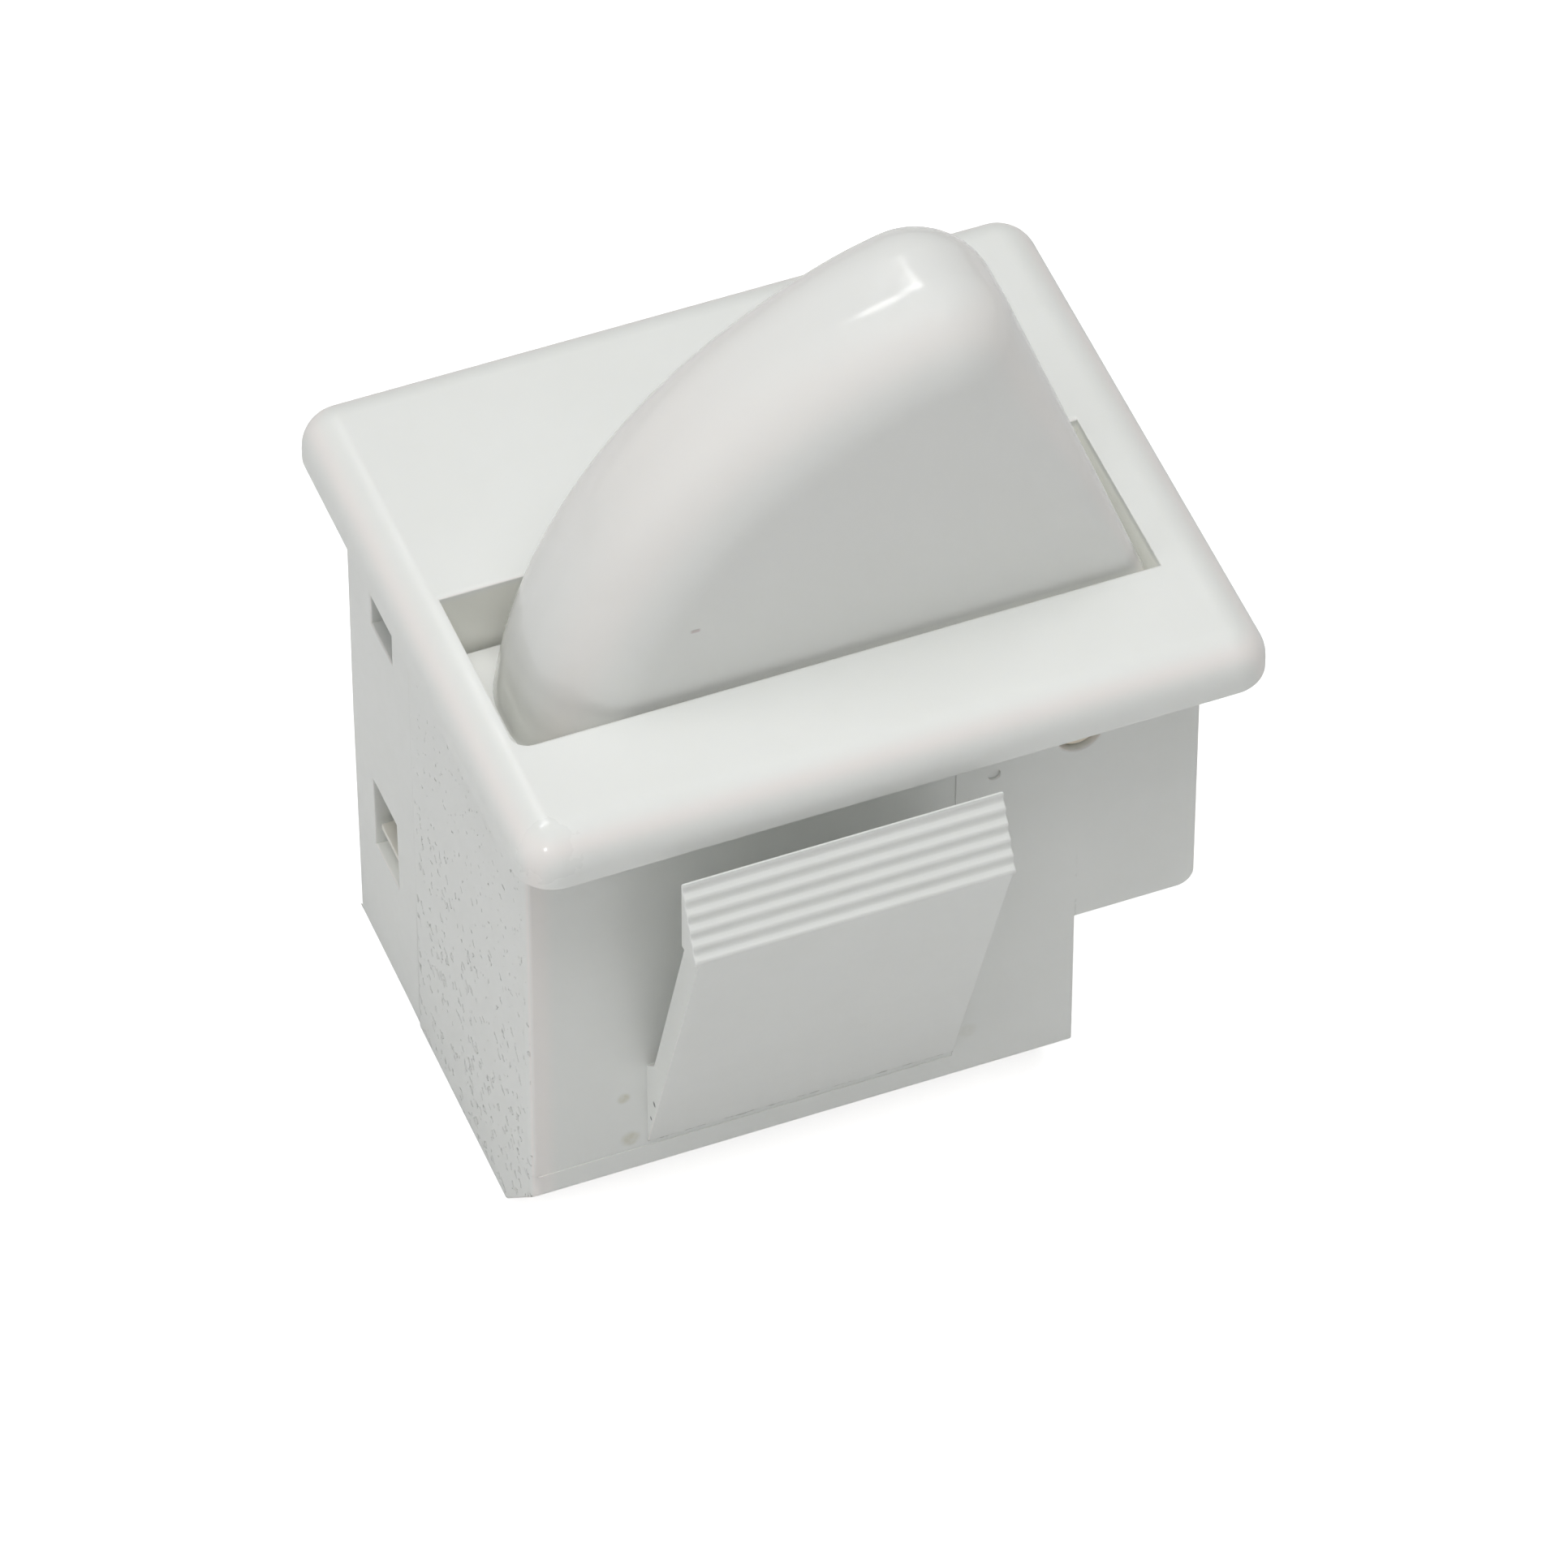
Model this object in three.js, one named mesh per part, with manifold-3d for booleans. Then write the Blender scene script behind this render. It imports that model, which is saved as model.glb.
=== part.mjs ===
// Snap-in door switch with a quarter-disc rocker arm: case, rocker, spring wings and contact set.
// Millimetres, +Z out of the panel, +X along the flange towards the pivot end, and -Y the front.
// The parts are laid out round the flange's centre, on its underside. The finished group is moved
// so that its origin is the seat point: the middle of the flange's front ledge, on the underside.
import * as THREE from "three";
import { mergeVertices } from "three/addons/utils/BufferGeometryUtils.js";
import Module from "manifold-3d";

const wasm = await Module();
wasm.setup();

// ---------------------------------------------------------------- driving dimensions
const FLANGE = { length: 36, width: 30.6, thickness: 2.6, edgeR: 1.9, cornerR: 1.95 };
const CASE = { left: -16.7, right: 15.9, front: -11.5, back: 12 };
const DEPTH = { deep: 28.5, shallow: 16.2 };
const STEP_X = 10;
const WALL = 1.25;
const CASE_CORNER_R = 1.3;
const CHAMFER = { z: -24.55, y: -7.9, wall: 1.1 };
const DRAFT = { y: 3.5, z: -14.7, depth: 0.1 };
const SEAT_POINT = { y: (CASE.front - FLANGE.width / 2) / 2 };
const APERTURE = { left: -15.98, right: 14.9, front: -8.8, back: 1.03 };
const PARTITION = { front: APERTURE.back, back: 2.4 };

const PIVOT = { x: 10, z: -3.9 };
const PIN = { r: 1.05, front: -11.3, back: 2.2, holeR: 1.1 };
const TRAVEL_DEG = 62;

const ROCKER = { r: 25, front: -8.5, back: 0.7, fillet: 4, sideFillet: 1.5, cornerR: 3.9 };
const SIDE = { offset: 6.1, tiltDeg: 19.2, clipX: 14.5 };
const SKIRT = { r: 25.2, top: -1, bottomDeg: 177.5 };
const SHELL = { r: 21.8, offset: 4.2, right: 13.2, front: -7.1, back: -0.7, web: -2.6, hubR: 6.4 };
const HUB = { r: 2.1, outerR: 2.9, boreR: 1.13 };
const RETURN_SPRING = { meanR: 2.75, wireR: 0.28, turns: 3, front: -6.6, back: -3.1, legDeg: 10, lift: 7 };
const SPRING_STOP = { left: 13.1, back: -3, top: -8 };

const CAM = { baseR: 1.9, height: 3, front: -1.9, back: 0.5 };
const SLIDER_TRAVEL = CAM.baseR * THREE.MathUtils.degToRad(TRAVEL_DEG);
const SLIDER = { left: -15.1, right: 8.6, front: 2.7, back: 10.4, top: -7.5, bottom: -9.5 };
const FINGER = { left: 7.5, front: -1.8, thickness: 2 };
const GAP = 0.05;

const CONTACT_Y = 6.6;
const SHEET = 0.8;
const BLADE = { width: 6.3, end: -28.2, tip: 1 };
const LAMP = { x: -9.5, shelfTop: -11.8, springRoom: 2.1 };
const FAN = { x: 2.9, bridgeBottom: -13.1 };
const CIRCUIT = { halfSpan: 4.3, shelf: 2.6, shelfWidth: 4, contactX: 3 };
const RIVET = { headR: 0.9, head: 0.6, shankR: 0.55, tailR: 0.8, tail: 0.25, holeR: 0.62 };
const BRIDGE = { halfLength: 3.95, width: 3, thickness: 0.5 };
const CAGE = { halfX: 1.2, halfY: 2.2, windowY: 1.65, bar: 0.9 };

const BASE = { left: -15.2, right: 8.5, front: 2.7, back: 10.4, top: -19.8, bottom: -21.6 };
const BARB = { low: -20.2, high: -19.9 };
const DIVIDER = { left: -3.9, right: -2.7 };
const SEAT = { x: -2.6, halfX: 1.5, halfY: 1.5, top: -15.8, bottom: -16.3 };
const WINDOW = { front: 6, back: 9.1, top: -17.1, bottom: -21.5 };
const UPPER_WINDOW = { front: 5.8, back: 8.6, top: -1.7, bottom: -6.1 };

const WING = { left: -11, right: 4.05, gap: 0.3, mirrorY: 0.5 };
const WING_ROOT = { outerZ: -23, innerZ: -17.8, neck: 1.2 };
const WING_HEAD = { outerY: -18.2, z: -4, topOuterY: -16.6, topInnerY: -16.3, topZ: -0.5 };
const WING_INNER = { y: -16.4, z: -4.6 };
const RIDGES = { count: 6, depth: 0.45, rise: 0.25 };

const COLOURS = {
  white: { color: 0xe3e4e1, roughness: 0.45, metalness: 0 },
  rocker: { color: 0xdcdedb, roughness: 0.28, metalness: 0 },
  natural: { color: 0xece6d6, roughness: 0.5, metalness: 0 },
  brass: { color: 0xc9a34e, roughness: 0.35, metalness: 1 },
  silver: { color: 0xd2d2ce, roughness: 0.3, metalness: 1 },
  tinned: { color: 0xb8b6ad, roughness: 0.4, metalness: 1 },
  steel: { color: 0xb4b6b8, roughness: 0.3, metalness: 1 },
};

// ---------------------------------------------------------------- helpers
const TO_XZ = new THREE.Matrix4().makeRotationX(Math.PI / 2);
const TO_YZ = new THREE.Matrix4().makeBasis(
  new THREE.Vector3(0, 1, 0),
  new THREE.Vector3(0, 0, 1),
  new THREE.Vector3(1, 0, 0),
);
const rad = THREE.MathUtils.degToRad;

/** A manifold-3d solid from a closed geometry. */
function solid(geometry) {
  const g = geometry.clone();
  g.deleteAttribute("normal");
  g.deleteAttribute("uv");
  const merged = mergeVertices(g, 1e-5);
  const vertProperties = new Float32Array(merged.attributes.position.array);
  const triVerts = new Uint32Array(merged.index.array);
  return new wasm.Manifold(new wasm.Mesh({ numProp: 3, vertProperties, triVerts }));
}

/** A BufferGeometry from a manifold-3d solid. */
function geometryOf(body) {
  const mesh = body.getMesh();
  const g = new THREE.BufferGeometry();
  g.setAttribute("position", new THREE.BufferAttribute(new Float32Array(mesh.vertProperties), 3));
  g.setIndex(new THREE.BufferAttribute(new Uint32Array(mesh.triVerts), 1));
  g.computeVertexNormals();
  return g;
}

const join = (first, ...rest) => rest.reduce((sum, part) => sum.add(part), first);
const cut = (first, ...rest) => rest.reduce((sum, part) => sum.subtract(part), first);

function box(x0, x1, y0, y1, z0, z1) {
  const g = new THREE.BoxGeometry(x1 - x0, y1 - y0, z1 - z0);
  g.translate((x0 + x1) / 2, (y0 + y1) / 2, (z0 + z1) / 2);
  return solid(g);
}

/** Straight extrusion of a closed outline, from 0 to depth along local +Z. */
function extruded(points, depth) {
  const shape = new THREE.Shape(points.map(([a, b]) => new THREE.Vector2(a, b)));
  return new THREE.ExtrudeGeometry(shape, { depth, bevelEnabled: false });
}

/** Prism with an (x, z) outline between two y planes. */
function prismY(points, y0, y1) {
  return solid(extruded(points, y1 - y0).applyMatrix4(TO_XZ).translate(0, y1, 0));
}

/** Prism with a (y, z) outline between two x planes. */
function prismX(points, x0, x1) {
  return solid(extruded(points, x1 - x0).applyMatrix4(TO_YZ).translate(x0, 0, 0));
}

/** Cylinder along Y, through (x, z), between two y planes. */
function rodY(x, z, r, y0, y1, sides = 24) {
  const g = new THREE.CylinderGeometry(r, r, y1 - y0, sides);
  return solid(g.translate(x, (y0 + y1) / 2, z));
}

/** Cylinder along Z. */
function rodZ(x, y, r, z0, z1, sides = 16) {
  const g = new THREE.CylinderGeometry(r, r, z1 - z0, sides).rotateX(Math.PI / 2);
  return solid(g.translate(x, y, (z0 + z1) / 2));
}

/** Points of an arc about (cx, cy), from one angle to another in degrees. */
function arc(cx, cy, r, fromDeg, toDeg, steps) {
  return Array.from({ length: steps + 1 }, (_, i) => {
    const a = rad(fromDeg + ((toDeg - fromDeg) * i) / steps);
    return [cx + r * Math.cos(a), cy + r * Math.sin(a)];
  });
}

/** Counter-clockwise rounded rectangle centred on the origin. */
function roundedRectangle(length, width, r, steps) {
  const x = length / 2 - r;
  const y = width / 2 - r;
  return [
    ...arc(x, y, r, 0, 90, steps),
    ...arc(-x, y, r, 90, 180, steps),
    ...arc(-x, -y, r, 180, 270, steps),
    ...arc(x, -y, r, 270, 360, steps),
  ];
}

/** Unit outward normal at each point of a counter-clockwise outline. */
function outlineNormals(points) {
  return points.map((_, i) => {
    const before = points[(i + points.length - 1) % points.length];
    const after = points[(i + 1) % points.length];
    const n = new THREE.Vector2(after[1] - before[1], before[0] - after[0]).normalize();
    return [n.x, n.y];
  });
}

/**
 * Convex slab between z0 and z1 whose rims are rounded: lowR and highR give, for each outline
 * point, the fillet radius at the low and the high face. Without lowR that rim stays sharp.
 */
function filletedSlab(points, z0, z1, lowR, highR, steps) {
  const normals = outlineNormals(points);
  const rings = [];
  const addRing = (place) => rings.push(points.map((p, i) => place(p, normals[i], i)));
  const inset = (p, n, amount, z) => [p[0] - n[0] * amount, p[1] - n[1] * amount, z];
  const quarter = Array.from({ length: steps + 1 }, (_, k) => (k / steps) * (Math.PI / 2));
  if (lowR) {
    for (const t of quarter) {
      const [s, c] = [1 - Math.sin(t), 1 - Math.cos(t)];
      addRing((p, n, i) => inset(p, n, lowR[i] * s, z0 + lowR[i] * c));
    }
  } else {
    addRing((p, n) => inset(p, n, 0, z0));
  }
  for (const t of quarter.toReversed()) {
    const [s, c] = [1 - Math.sin(t), 1 - Math.cos(t)];
    addRing((p, n, i) => inset(p, n, highR[i] * s, z1 - highR[i] * c));
  }
  const count = points.length;
  const index = [];
  for (let j = 0; j < rings.length - 1; j++) {
    for (let i = 0; i < count; i++) {
      const next = (i + 1) % count;
      const [a, b, c, d] = [j * count + i, j * count + next, (j + 1) * count + next, (j + 1) * count + i];
      index.push(a, b, c, a, c, d);
    }
  }
  const middle = (ring) => [0, 1, 2].map((k) => ring.reduce((sum, p) => sum + p[k], 0) / count);
  const last = (rings.length - 1) * count;
  const lowCentre = rings.length * count;
  for (let i = 0; i < count; i++) {
    const next = (i + 1) % count;
    index.push(lowCentre, next, i, lowCentre + 1, last + i, last + next);
  }
  rings.push([middle(rings[0]), middle(rings.at(-1))]);
  const g = new THREE.BufferGeometry();
  g.setAttribute("position", new THREE.Float32BufferAttribute(rings.flat(2), 3));
  g.setIndex(index);
  return g;
}

/** Round wire swept along a list of points, with flat ends. */
function wire(points, r, stepsPerPoint) {
  const curve = new THREE.CatmullRomCurve3(points.map((p) => new THREE.Vector3(...p)), false, "centripetal");
  const sides = 7;
  const section = new THREE.Shape(
    Array.from({ length: sides }, (_, i) => {
      const a = (i / sides) * 2 * Math.PI;
      return new THREE.Vector2(r * Math.cos(a), r * Math.sin(a));
    }),
  );
  return new THREE.ExtrudeGeometry(section, {
    steps: Math.round(points.length * stepsPerPoint),
    bevelEnabled: false,
    extrudePath: curve,
  });
}

/** Compression spring along Z, standing on z0, its outside touching z0 and z1. */
function coilSpring(x, y, meanR, wireR, z0, z1, turns) {
  const perTurn = 12;
  const count = turns * perTurn;
  const low = z0 + wireR;
  const high = z1 - wireR;
  const points = Array.from({ length: count + 1 }, (_, i) => {
    const a = (i / perTurn) * 2 * Math.PI;
    return [x + meanR * Math.cos(a), y + meanR * Math.sin(a), low + ((high - low) * i) / count];
  });
  return wire(points, wireR, 1);
}

// ---------------------------------------------------------------- case
/** (y, z) points of the case's front lower chamfer, moved inwards by a wall. */
function chamferWedge(wall) {
  const [dy, dz] = [CHAMFER.y - CASE.front, -DEPTH.deep - CHAMFER.z];
  const length = Math.hypot(dy, dz);
  const [inY, inZ] = [(-dz / length) * wall, (dy / length) * wall];
  const along = (t) => [CASE.front + dy * t + inY, CHAMFER.z + dz * t + inZ];
  const [top, bottom] = [along(-1), along(2)];
  return [top, [top[0], bottom[1]], bottom];
}

/** (x, z) outline of the case, L-shaped: deep under the arm's swing, shallow past the pivot. */
function caseOutline() {
  const r = CASE_CORNER_R;
  return [
    [CASE.left, 1],
    [CASE.left, -DEPTH.deep],
    [STEP_X, -DEPTH.deep],
    [STEP_X, -DEPTH.shallow],
    ...arc(CASE.right - r, -DEPTH.shallow + r, r, -90, 0, 4),
    [CASE.right, 1],
  ];
}

/** (x, z) outline of a chamber inside the case, with its deep part ending at floorZ. */
function chamberOutline(right, floorZ) {
  const left = CASE.left + WALL;
  const shelfZ = -DEPTH.shallow + WALL;
  return [
    [left, 0],
    [left, floorZ],
    [STEP_X - WALL, floorZ],
    [STEP_X - WALL, shelfZ],
    [right, shelfZ],
    [right, 0],
  ];
}

/** The stub of a wing that belongs to the case, and the free wing, as (y, z) outlines. */
function wingOutlines() {
  const face = CASE.front;
  const inner = new THREE.Vector2(WING_INNER.y - face, WING_INNER.z - WING_ROOT.innerZ).normalize();
  const outer = new THREE.Vector2(WING_HEAD.outerY - face, WING_HEAD.z - WING_ROOT.outerZ).normalize();
  const innerNeck = new THREE.Vector2(face, WING_ROOT.innerZ).addScaledVector(inner, WING_ROOT.neck);
  const root = new THREE.Vector2(face, WING_ROOT.outerZ);
  const along = innerNeck.clone().sub(root).dot(outer);
  const outerNeck = root.clone().addScaledVector(outer, along);
  const innerStart = innerNeck.clone().addScaledVector(inner, WING.gap);
  const outerStart = outerNeck.clone().addScaledVector(outer, WING.gap);
  const bury = face + 0.5;
  const stub = [
    [bury, WING_ROOT.outerZ],
    root.toArray(),
    outerNeck.toArray(),
    innerNeck.toArray(),
    [face, WING_ROOT.innerZ],
    [bury, WING_ROOT.innerZ],
  ];
  const ridges = [];
  const steps = RIDGES.count - 1;
  for (let i = 0; i < RIDGES.count; i++) {
    const y = WING_HEAD.outerY + ((WING_HEAD.topOuterY - WING_HEAD.outerY) * i) / steps;
    const z = WING_HEAD.z + ((WING_HEAD.topZ - WING_HEAD.z) * i) / steps;
    ridges.push([y, z]);
    if (i < steps) ridges.push([y + RIDGES.depth, z + RIDGES.rise]);
  }
  const wing = [
    outerStart.toArray(),
    ...ridges,
    [WING_HEAD.topInnerY, WING_HEAD.topZ],
    [WING_INNER.y, WING_INNER.z],
    innerStart.toArray(),
  ];
  return { stub, wing };
}

const mirrored = (points) => points.map(([y, z]) => [WING.mirrorY - y, z]).reverse();

function housing() {
  const rim = roundedRectangle(FLANGE.length, FLANGE.width, FLANGE.cornerR, 4);
  const edge = rim.map(() => FLANGE.edgeR);
  const flange = solid(filletedSlab(rim, 0, FLANGE.thickness, null, edge, 4));
  const { stub } = wingOutlines();
  const outside = join(
    cut(prismY(caseOutline(), CASE.front, CASE.back), prismX(chamferWedge(0), -20, 20)),
    flange,
    prismX(stub, WING.left, WING.right),
    prismX(mirrored(stub), WING.left, WING.right),
  );
  const well = cut(
    prismY(chamberOutline(APERTURE.right, -DEPTH.deep + WALL), CASE.front + WALL, APERTURE.back),
    prismX(chamferWedge(CHAMFER.wall), -20, 20),
  );
  const opening = box(APERTURE.left, APERTURE.right, APERTURE.front, APERTURE.back, -0.5, 3);
  const contactChamber = prismY(
    chamberOutline(CASE.right - WALL, -DEPTH.deep - 1),
    PARTITION.back,
    CASE.back - WALL,
  );
  const fingerSlot = box(
    FINGER.left - 0.3, STEP_X - WALL, PARTITION.front - 0.2, PARTITION.back + 0.2, -DEPTH.deep - 1, -6.4,
  );
  const pinHole = rodY(PIVOT.x, PIVOT.z, PIN.holeR, CASE.front - 1, PARTITION.back + 0.5);
  const windows = [
    [CASE.left - 1, CASE.left + WALL + 0.5, WINDOW],
    [STEP_X - WALL - 0.5, STEP_X + 1, WINDOW],
    [CASE.left - 1, CASE.left + WALL + 0.5, UPPER_WINDOW],
  ].map(([x0, x1, w]) => box(x0, x1, w.front, w.back, w.bottom, w.top));
  const draft = prismY(
    [
      [CASE.left - 1, DRAFT.z],
      [CASE.left - 1, -DEPTH.deep - 1],
      [CASE.left + DRAFT.depth, -DEPTH.deep - 1],
      [CASE.left, DRAFT.z],
    ],
    DRAFT.y,
    CASE.back + 1,
  );
  const springStop = box(
    SPRING_STOP.left, CASE.right - 0.5, CASE.front + 0.5, SPRING_STOP.back, -DEPTH.shallow + 0.5, SPRING_STOP.top,
  );
  return geometryOf(
    join(cut(outside, well, opening, contactChamber, fingerSlot, pinHole, ...windows, draft), springStop),
  );
}

const wingGeometry = (outline) => geometryOf(prismX(outline, WING.left, WING.right));

// ---------------------------------------------------------------- rocker arm
/** A point at an offset from the pivot, given along and across the arm's straight side. */
function fromSide(across, along) {
  const tilt = rad(SIDE.tiltDeg);
  return [
    PIVOT.x + across * Math.cos(tilt) - along * Math.sin(tilt),
    PIVOT.z + across * Math.sin(tilt) + along * Math.cos(tilt),
  ];
}

/** Distance along the straight side at which it reaches a given x. */
function alongAtX(across, x) {
  const tilt = rad(SIDE.tiltDeg);
  return (PIVOT.x + across * Math.cos(tilt) - x) / Math.sin(tilt);
}

/** Fin outline in (x, z), counter-clockwise, and the rim fillet at each point. */
function finOutline() {
  const low = -8;
  const c = ROCKER.cornerR;
  const reach = Math.sqrt((ROCKER.r - c) ** 2 - (SIDE.offset - c) ** 2);
  const [cx, cz] = fromSide(SIDE.offset - c, reach);
  const tipDeg = THREE.MathUtils.radToDeg(Math.atan2(cz - PIVOT.z, cx - PIVOT.x));
  const bottom = alongAtX(SIDE.offset, SIDE.clipX);
  const points = [[SIDE.clipX, low], [SIDE.clipX, low / 2]];
  const fillets = [ROCKER.sideFillet, ROCKER.sideFillet];
  const sideSteps = 5;
  for (let i = 0; i < sideSteps; i++) {
    points.push(fromSide(SIDE.offset, bottom + ((reach - bottom) * i) / sideSteps));
    const blend = Math.max(0, i - 2) / (sideSteps - 2);
    fillets.push(ROCKER.sideFillet + (c - 0.2 - ROCKER.sideFillet) * blend);
  }
  const corner = arc(cx, cz, c, SIDE.tiltDeg, tipDeg, 6);
  const rim = arc(PIVOT.x, PIVOT.z, ROCKER.r, tipDeg, 189, 16).slice(1);
  points.push(...corner, ...rim);
  corner.forEach(() => fillets.push(c - 0.2));
  rim.forEach(() => fillets.push(ROCKER.fillet));
  return { points, fillets };
}

/** Closed skirt under the fin: a plain sector strip down to the arm's lower edge. */
function skirtOutline() {
  const topDeg = 180 - THREE.MathUtils.radToDeg(Math.asin((SKIRT.top - PIVOT.z) / SKIRT.r));
  return [
    [SIDE.clipX, PIVOT.z],
    [SIDE.clipX, SKIRT.top],
    ...arc(PIVOT.x, PIVOT.z, SKIRT.r, topDeg, SKIRT.bottomDeg, 3),
    ...arc(PIVOT.x, PIVOT.z, HUB.outerR, SKIRT.bottomDeg, 315, 8),
  ];
}

/** Hollow inside the arm, open towards its lower edge. */
function hollowOutline() {
  const reach = Math.sqrt(SHELL.r ** 2 - SHELL.offset ** 2);
  const [tx, tz] = fromSide(SHELL.offset, reach);
  const tipDeg = THREE.MathUtils.radToDeg(Math.atan2(tz - PIVOT.z, tx - PIVOT.x));
  const inner = arc(PIVOT.x, PIVOT.z, SHELL.r, tipDeg, 174, 12);
  return [
    fromSide(SHELL.offset, alongAtX(SHELL.offset, SHELL.right)),
    ...inner,
    [inner.at(-1)[0], -10],
    [SHELL.right, -10],
  ];
}

/** Involute lobe: pushes a flat follower down in constant proportion to the arm's turn. */
function camOutline() {
  const steps = 9;
  const flank = Array.from({ length: steps + 1 }, (_, i) => {
    const turn = rad(-8 + ((TRAVEL_DEG + 8) * i) / steps);
    const height = CAM.height + CAM.baseR * turn;
    return [
      PIVOT.x - CAM.baseR * Math.cos(turn) - height * Math.sin(turn),
      PIVOT.z + CAM.baseR * Math.sin(turn) - height * Math.cos(turn),
    ];
  });
  return [[PIVOT.x - 4.5, PIVOT.z + 1], ...flank.toReversed(), [PIVOT.x, PIVOT.z - 2], [PIVOT.x, PIVOT.z + 1]];
}

function rockerArm() {
  const { points, fillets } = finOutline();
  const slab = filletedSlab(points, -ROCKER.back, -ROCKER.front, fillets, fillets, 4);
  const fin = solid(slab.applyMatrix4(TO_XZ)).intersect(box(-20, 20, -12, 5, SKIRT.top, 30));
  const hollow = hollowOutline();
  const keep = rodY(PIVOT.x, PIVOT.z, SHELL.hubR, SHELL.web - 1, SHELL.back + 1, 32);
  const arm = cut(
    join(fin, prismY(skirtOutline(), ROCKER.front, ROCKER.back)),
    prismY(hollow, SHELL.front, SHELL.web),
    cut(prismY(hollow, SHELL.web - 0.1, SHELL.back), keep),
  );
  const hub = rodY(PIVOT.x, PIVOT.z, HUB.r, ROCKER.front + 0.5, ROCKER.back - 0.5);
  const bore = rodY(PIVOT.x, PIVOT.z, HUB.boreR, ROCKER.front - 1, ROCKER.back + 1);
  return geometryOf(cut(join(arm, hub, prismY(camOutline(), CAM.front, CAM.back)), bore));
}

function pivotPin() {
  const g = new THREE.CylinderGeometry(PIN.r, PIN.r, PIN.back - PIN.front, 24);
  return g.translate(PIVOT.x, (PIN.front + PIN.back) / 2, PIVOT.z);
}

/** Torsion spring round the hub: one leg lies on the case's stop, the other lifts the arm. */
function returnSpring() {
  const { meanR, wireR, turns, front, back, legDeg, lift } = RETURN_SPRING;
  const perTurn = 14;
  const total = turns * 360 + legDeg;
  const count = Math.round((total / 360) * perTurn);
  const at = (deg, y) => [PIVOT.x + meanR * Math.cos(rad(deg)), y, PIVOT.z + meanR * Math.sin(rad(deg))];
  const coil = Array.from({ length: count + 1 }, (_, i) =>
    at((total * i) / count, front + ((back - front) * i) / count),
  );
  const stopLeg = [[PIVOT.x + meanR, front, PIVOT.z - 7.5], [PIVOT.x + meanR, front, PIVOT.z - 3]];
  const tip = coil.at(-1);
  const liftLeg = [0.4, 1].map((t) => [
    tip[0] - t * lift * Math.sin(rad(legDeg)),
    back,
    tip[2] + t * lift * Math.cos(rad(legDeg)),
  ]);
  return wire([...stopLeg, ...coil, ...liftLeg], wireR, 1);
}

// ---------------------------------------------------------------- contact set
/** The two circuits: which way their fixed contacts face, and the heights that follow. */
const lampBridgeTop = LAMP.shelfTop - SHEET - GAP - RIVET.head - GAP - RIVET.head - GAP;
const fanContactTop = FAN.bridgeBottom - GAP - RIVET.head - SLIDER_TRAVEL - GAP;
const fanShelfTop = fanContactTop - RIVET.head - GAP;

/** Terminal: a tab that stands in the base, with a shelf for its contact rivet. */
function terminal(centreX, side, shelfTop) {
  const faceX = centreX + side * CIRCUIT.halfSpan;
  const [x0, x1] = side < 0 ? [faceX - SHEET, faceX] : [faceX, faceX + SHEET];
  const half = BLADE.width / 2;
  const blade = prismX(
    [
      [CONTACT_Y - half, shelfTop],
      [CONTACT_Y - half, BLADE.end + BLADE.tip],
      [CONTACT_Y - half + BLADE.tip, BLADE.end],
      [CONTACT_Y + half - BLADE.tip, BLADE.end],
      [CONTACT_Y + half, BLADE.end + BLADE.tip],
      [CONTACT_Y + half, shelfTop],
    ],
    x0,
    x1,
  );
  const shelfEnd = faceX - side * CIRCUIT.shelf;
  const [s0, s1] = side < 0 ? [x0, shelfEnd] : [shelfEnd, x1];
  const halfShelf = CIRCUIT.shelfWidth / 2;
  const shelf = box(s0, s1, CONTACT_Y - halfShelf, CONTACT_Y + halfShelf, shelfTop - SHEET, shelfTop);
  const rivetX = centreX + side * CIRCUIT.contactX;
  const rivetHole = rodZ(rivetX, CONTACT_Y, RIVET.holeR, shelfTop - SHEET - 1, shelfTop + 1);
  const tabHole = solid(
    new THREE.CylinderGeometry(0.9, 0.9, 3, 16).rotateZ(Math.PI / 2).translate(faceX, CONTACT_Y, -25.6),
  );
  return geometryOf(cut(join(blade, shelf), rivetHole, tabHole));
}

/** Rivet through a sheet: its head faces up (side 1) or down (side -1). */
function rivet(x, sheetFaceZ, sheet, side) {
  const { headR, head, shankR, tailR, tail } = RIVET;
  const grip = sheet + 2 * GAP;
  const profile = [
    [0, -grip - tail],
    [tailR, -grip - tail],
    [tailR, -grip],
    [shankR, -grip],
    [shankR, 0],
    [headR, 0],
    [headR, head * 0.7],
    [headR * 0.75, head],
    [0, head],
  ].map(([r, h]) => new THREE.Vector2(r, h));
  const g = new THREE.LatheGeometry(profile, 14).rotateX(Math.PI / 2);
  if (side < 0) g.rotateX(Math.PI);
  g.translate(x, CONTACT_Y, sheetFaceZ + side * GAP);
  return geometryOf(solid(g));
}

function bridge(centreX, bottom) {
  const { halfLength, width, thickness } = BRIDGE;
  const strip = box(
    centreX - halfLength, centreX + halfLength, CONTACT_Y - width / 2, CONTACT_Y + width / 2, bottom, bottom + thickness,
  );
  const holes = [-1, 1].map((side) =>
    rodZ(centreX + side * CIRCUIT.contactX, CONTACT_Y, RIVET.holeR, bottom - 1, bottom + 2),
  );
  return geometryOf(cut(strip, ...holes));
}

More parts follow.
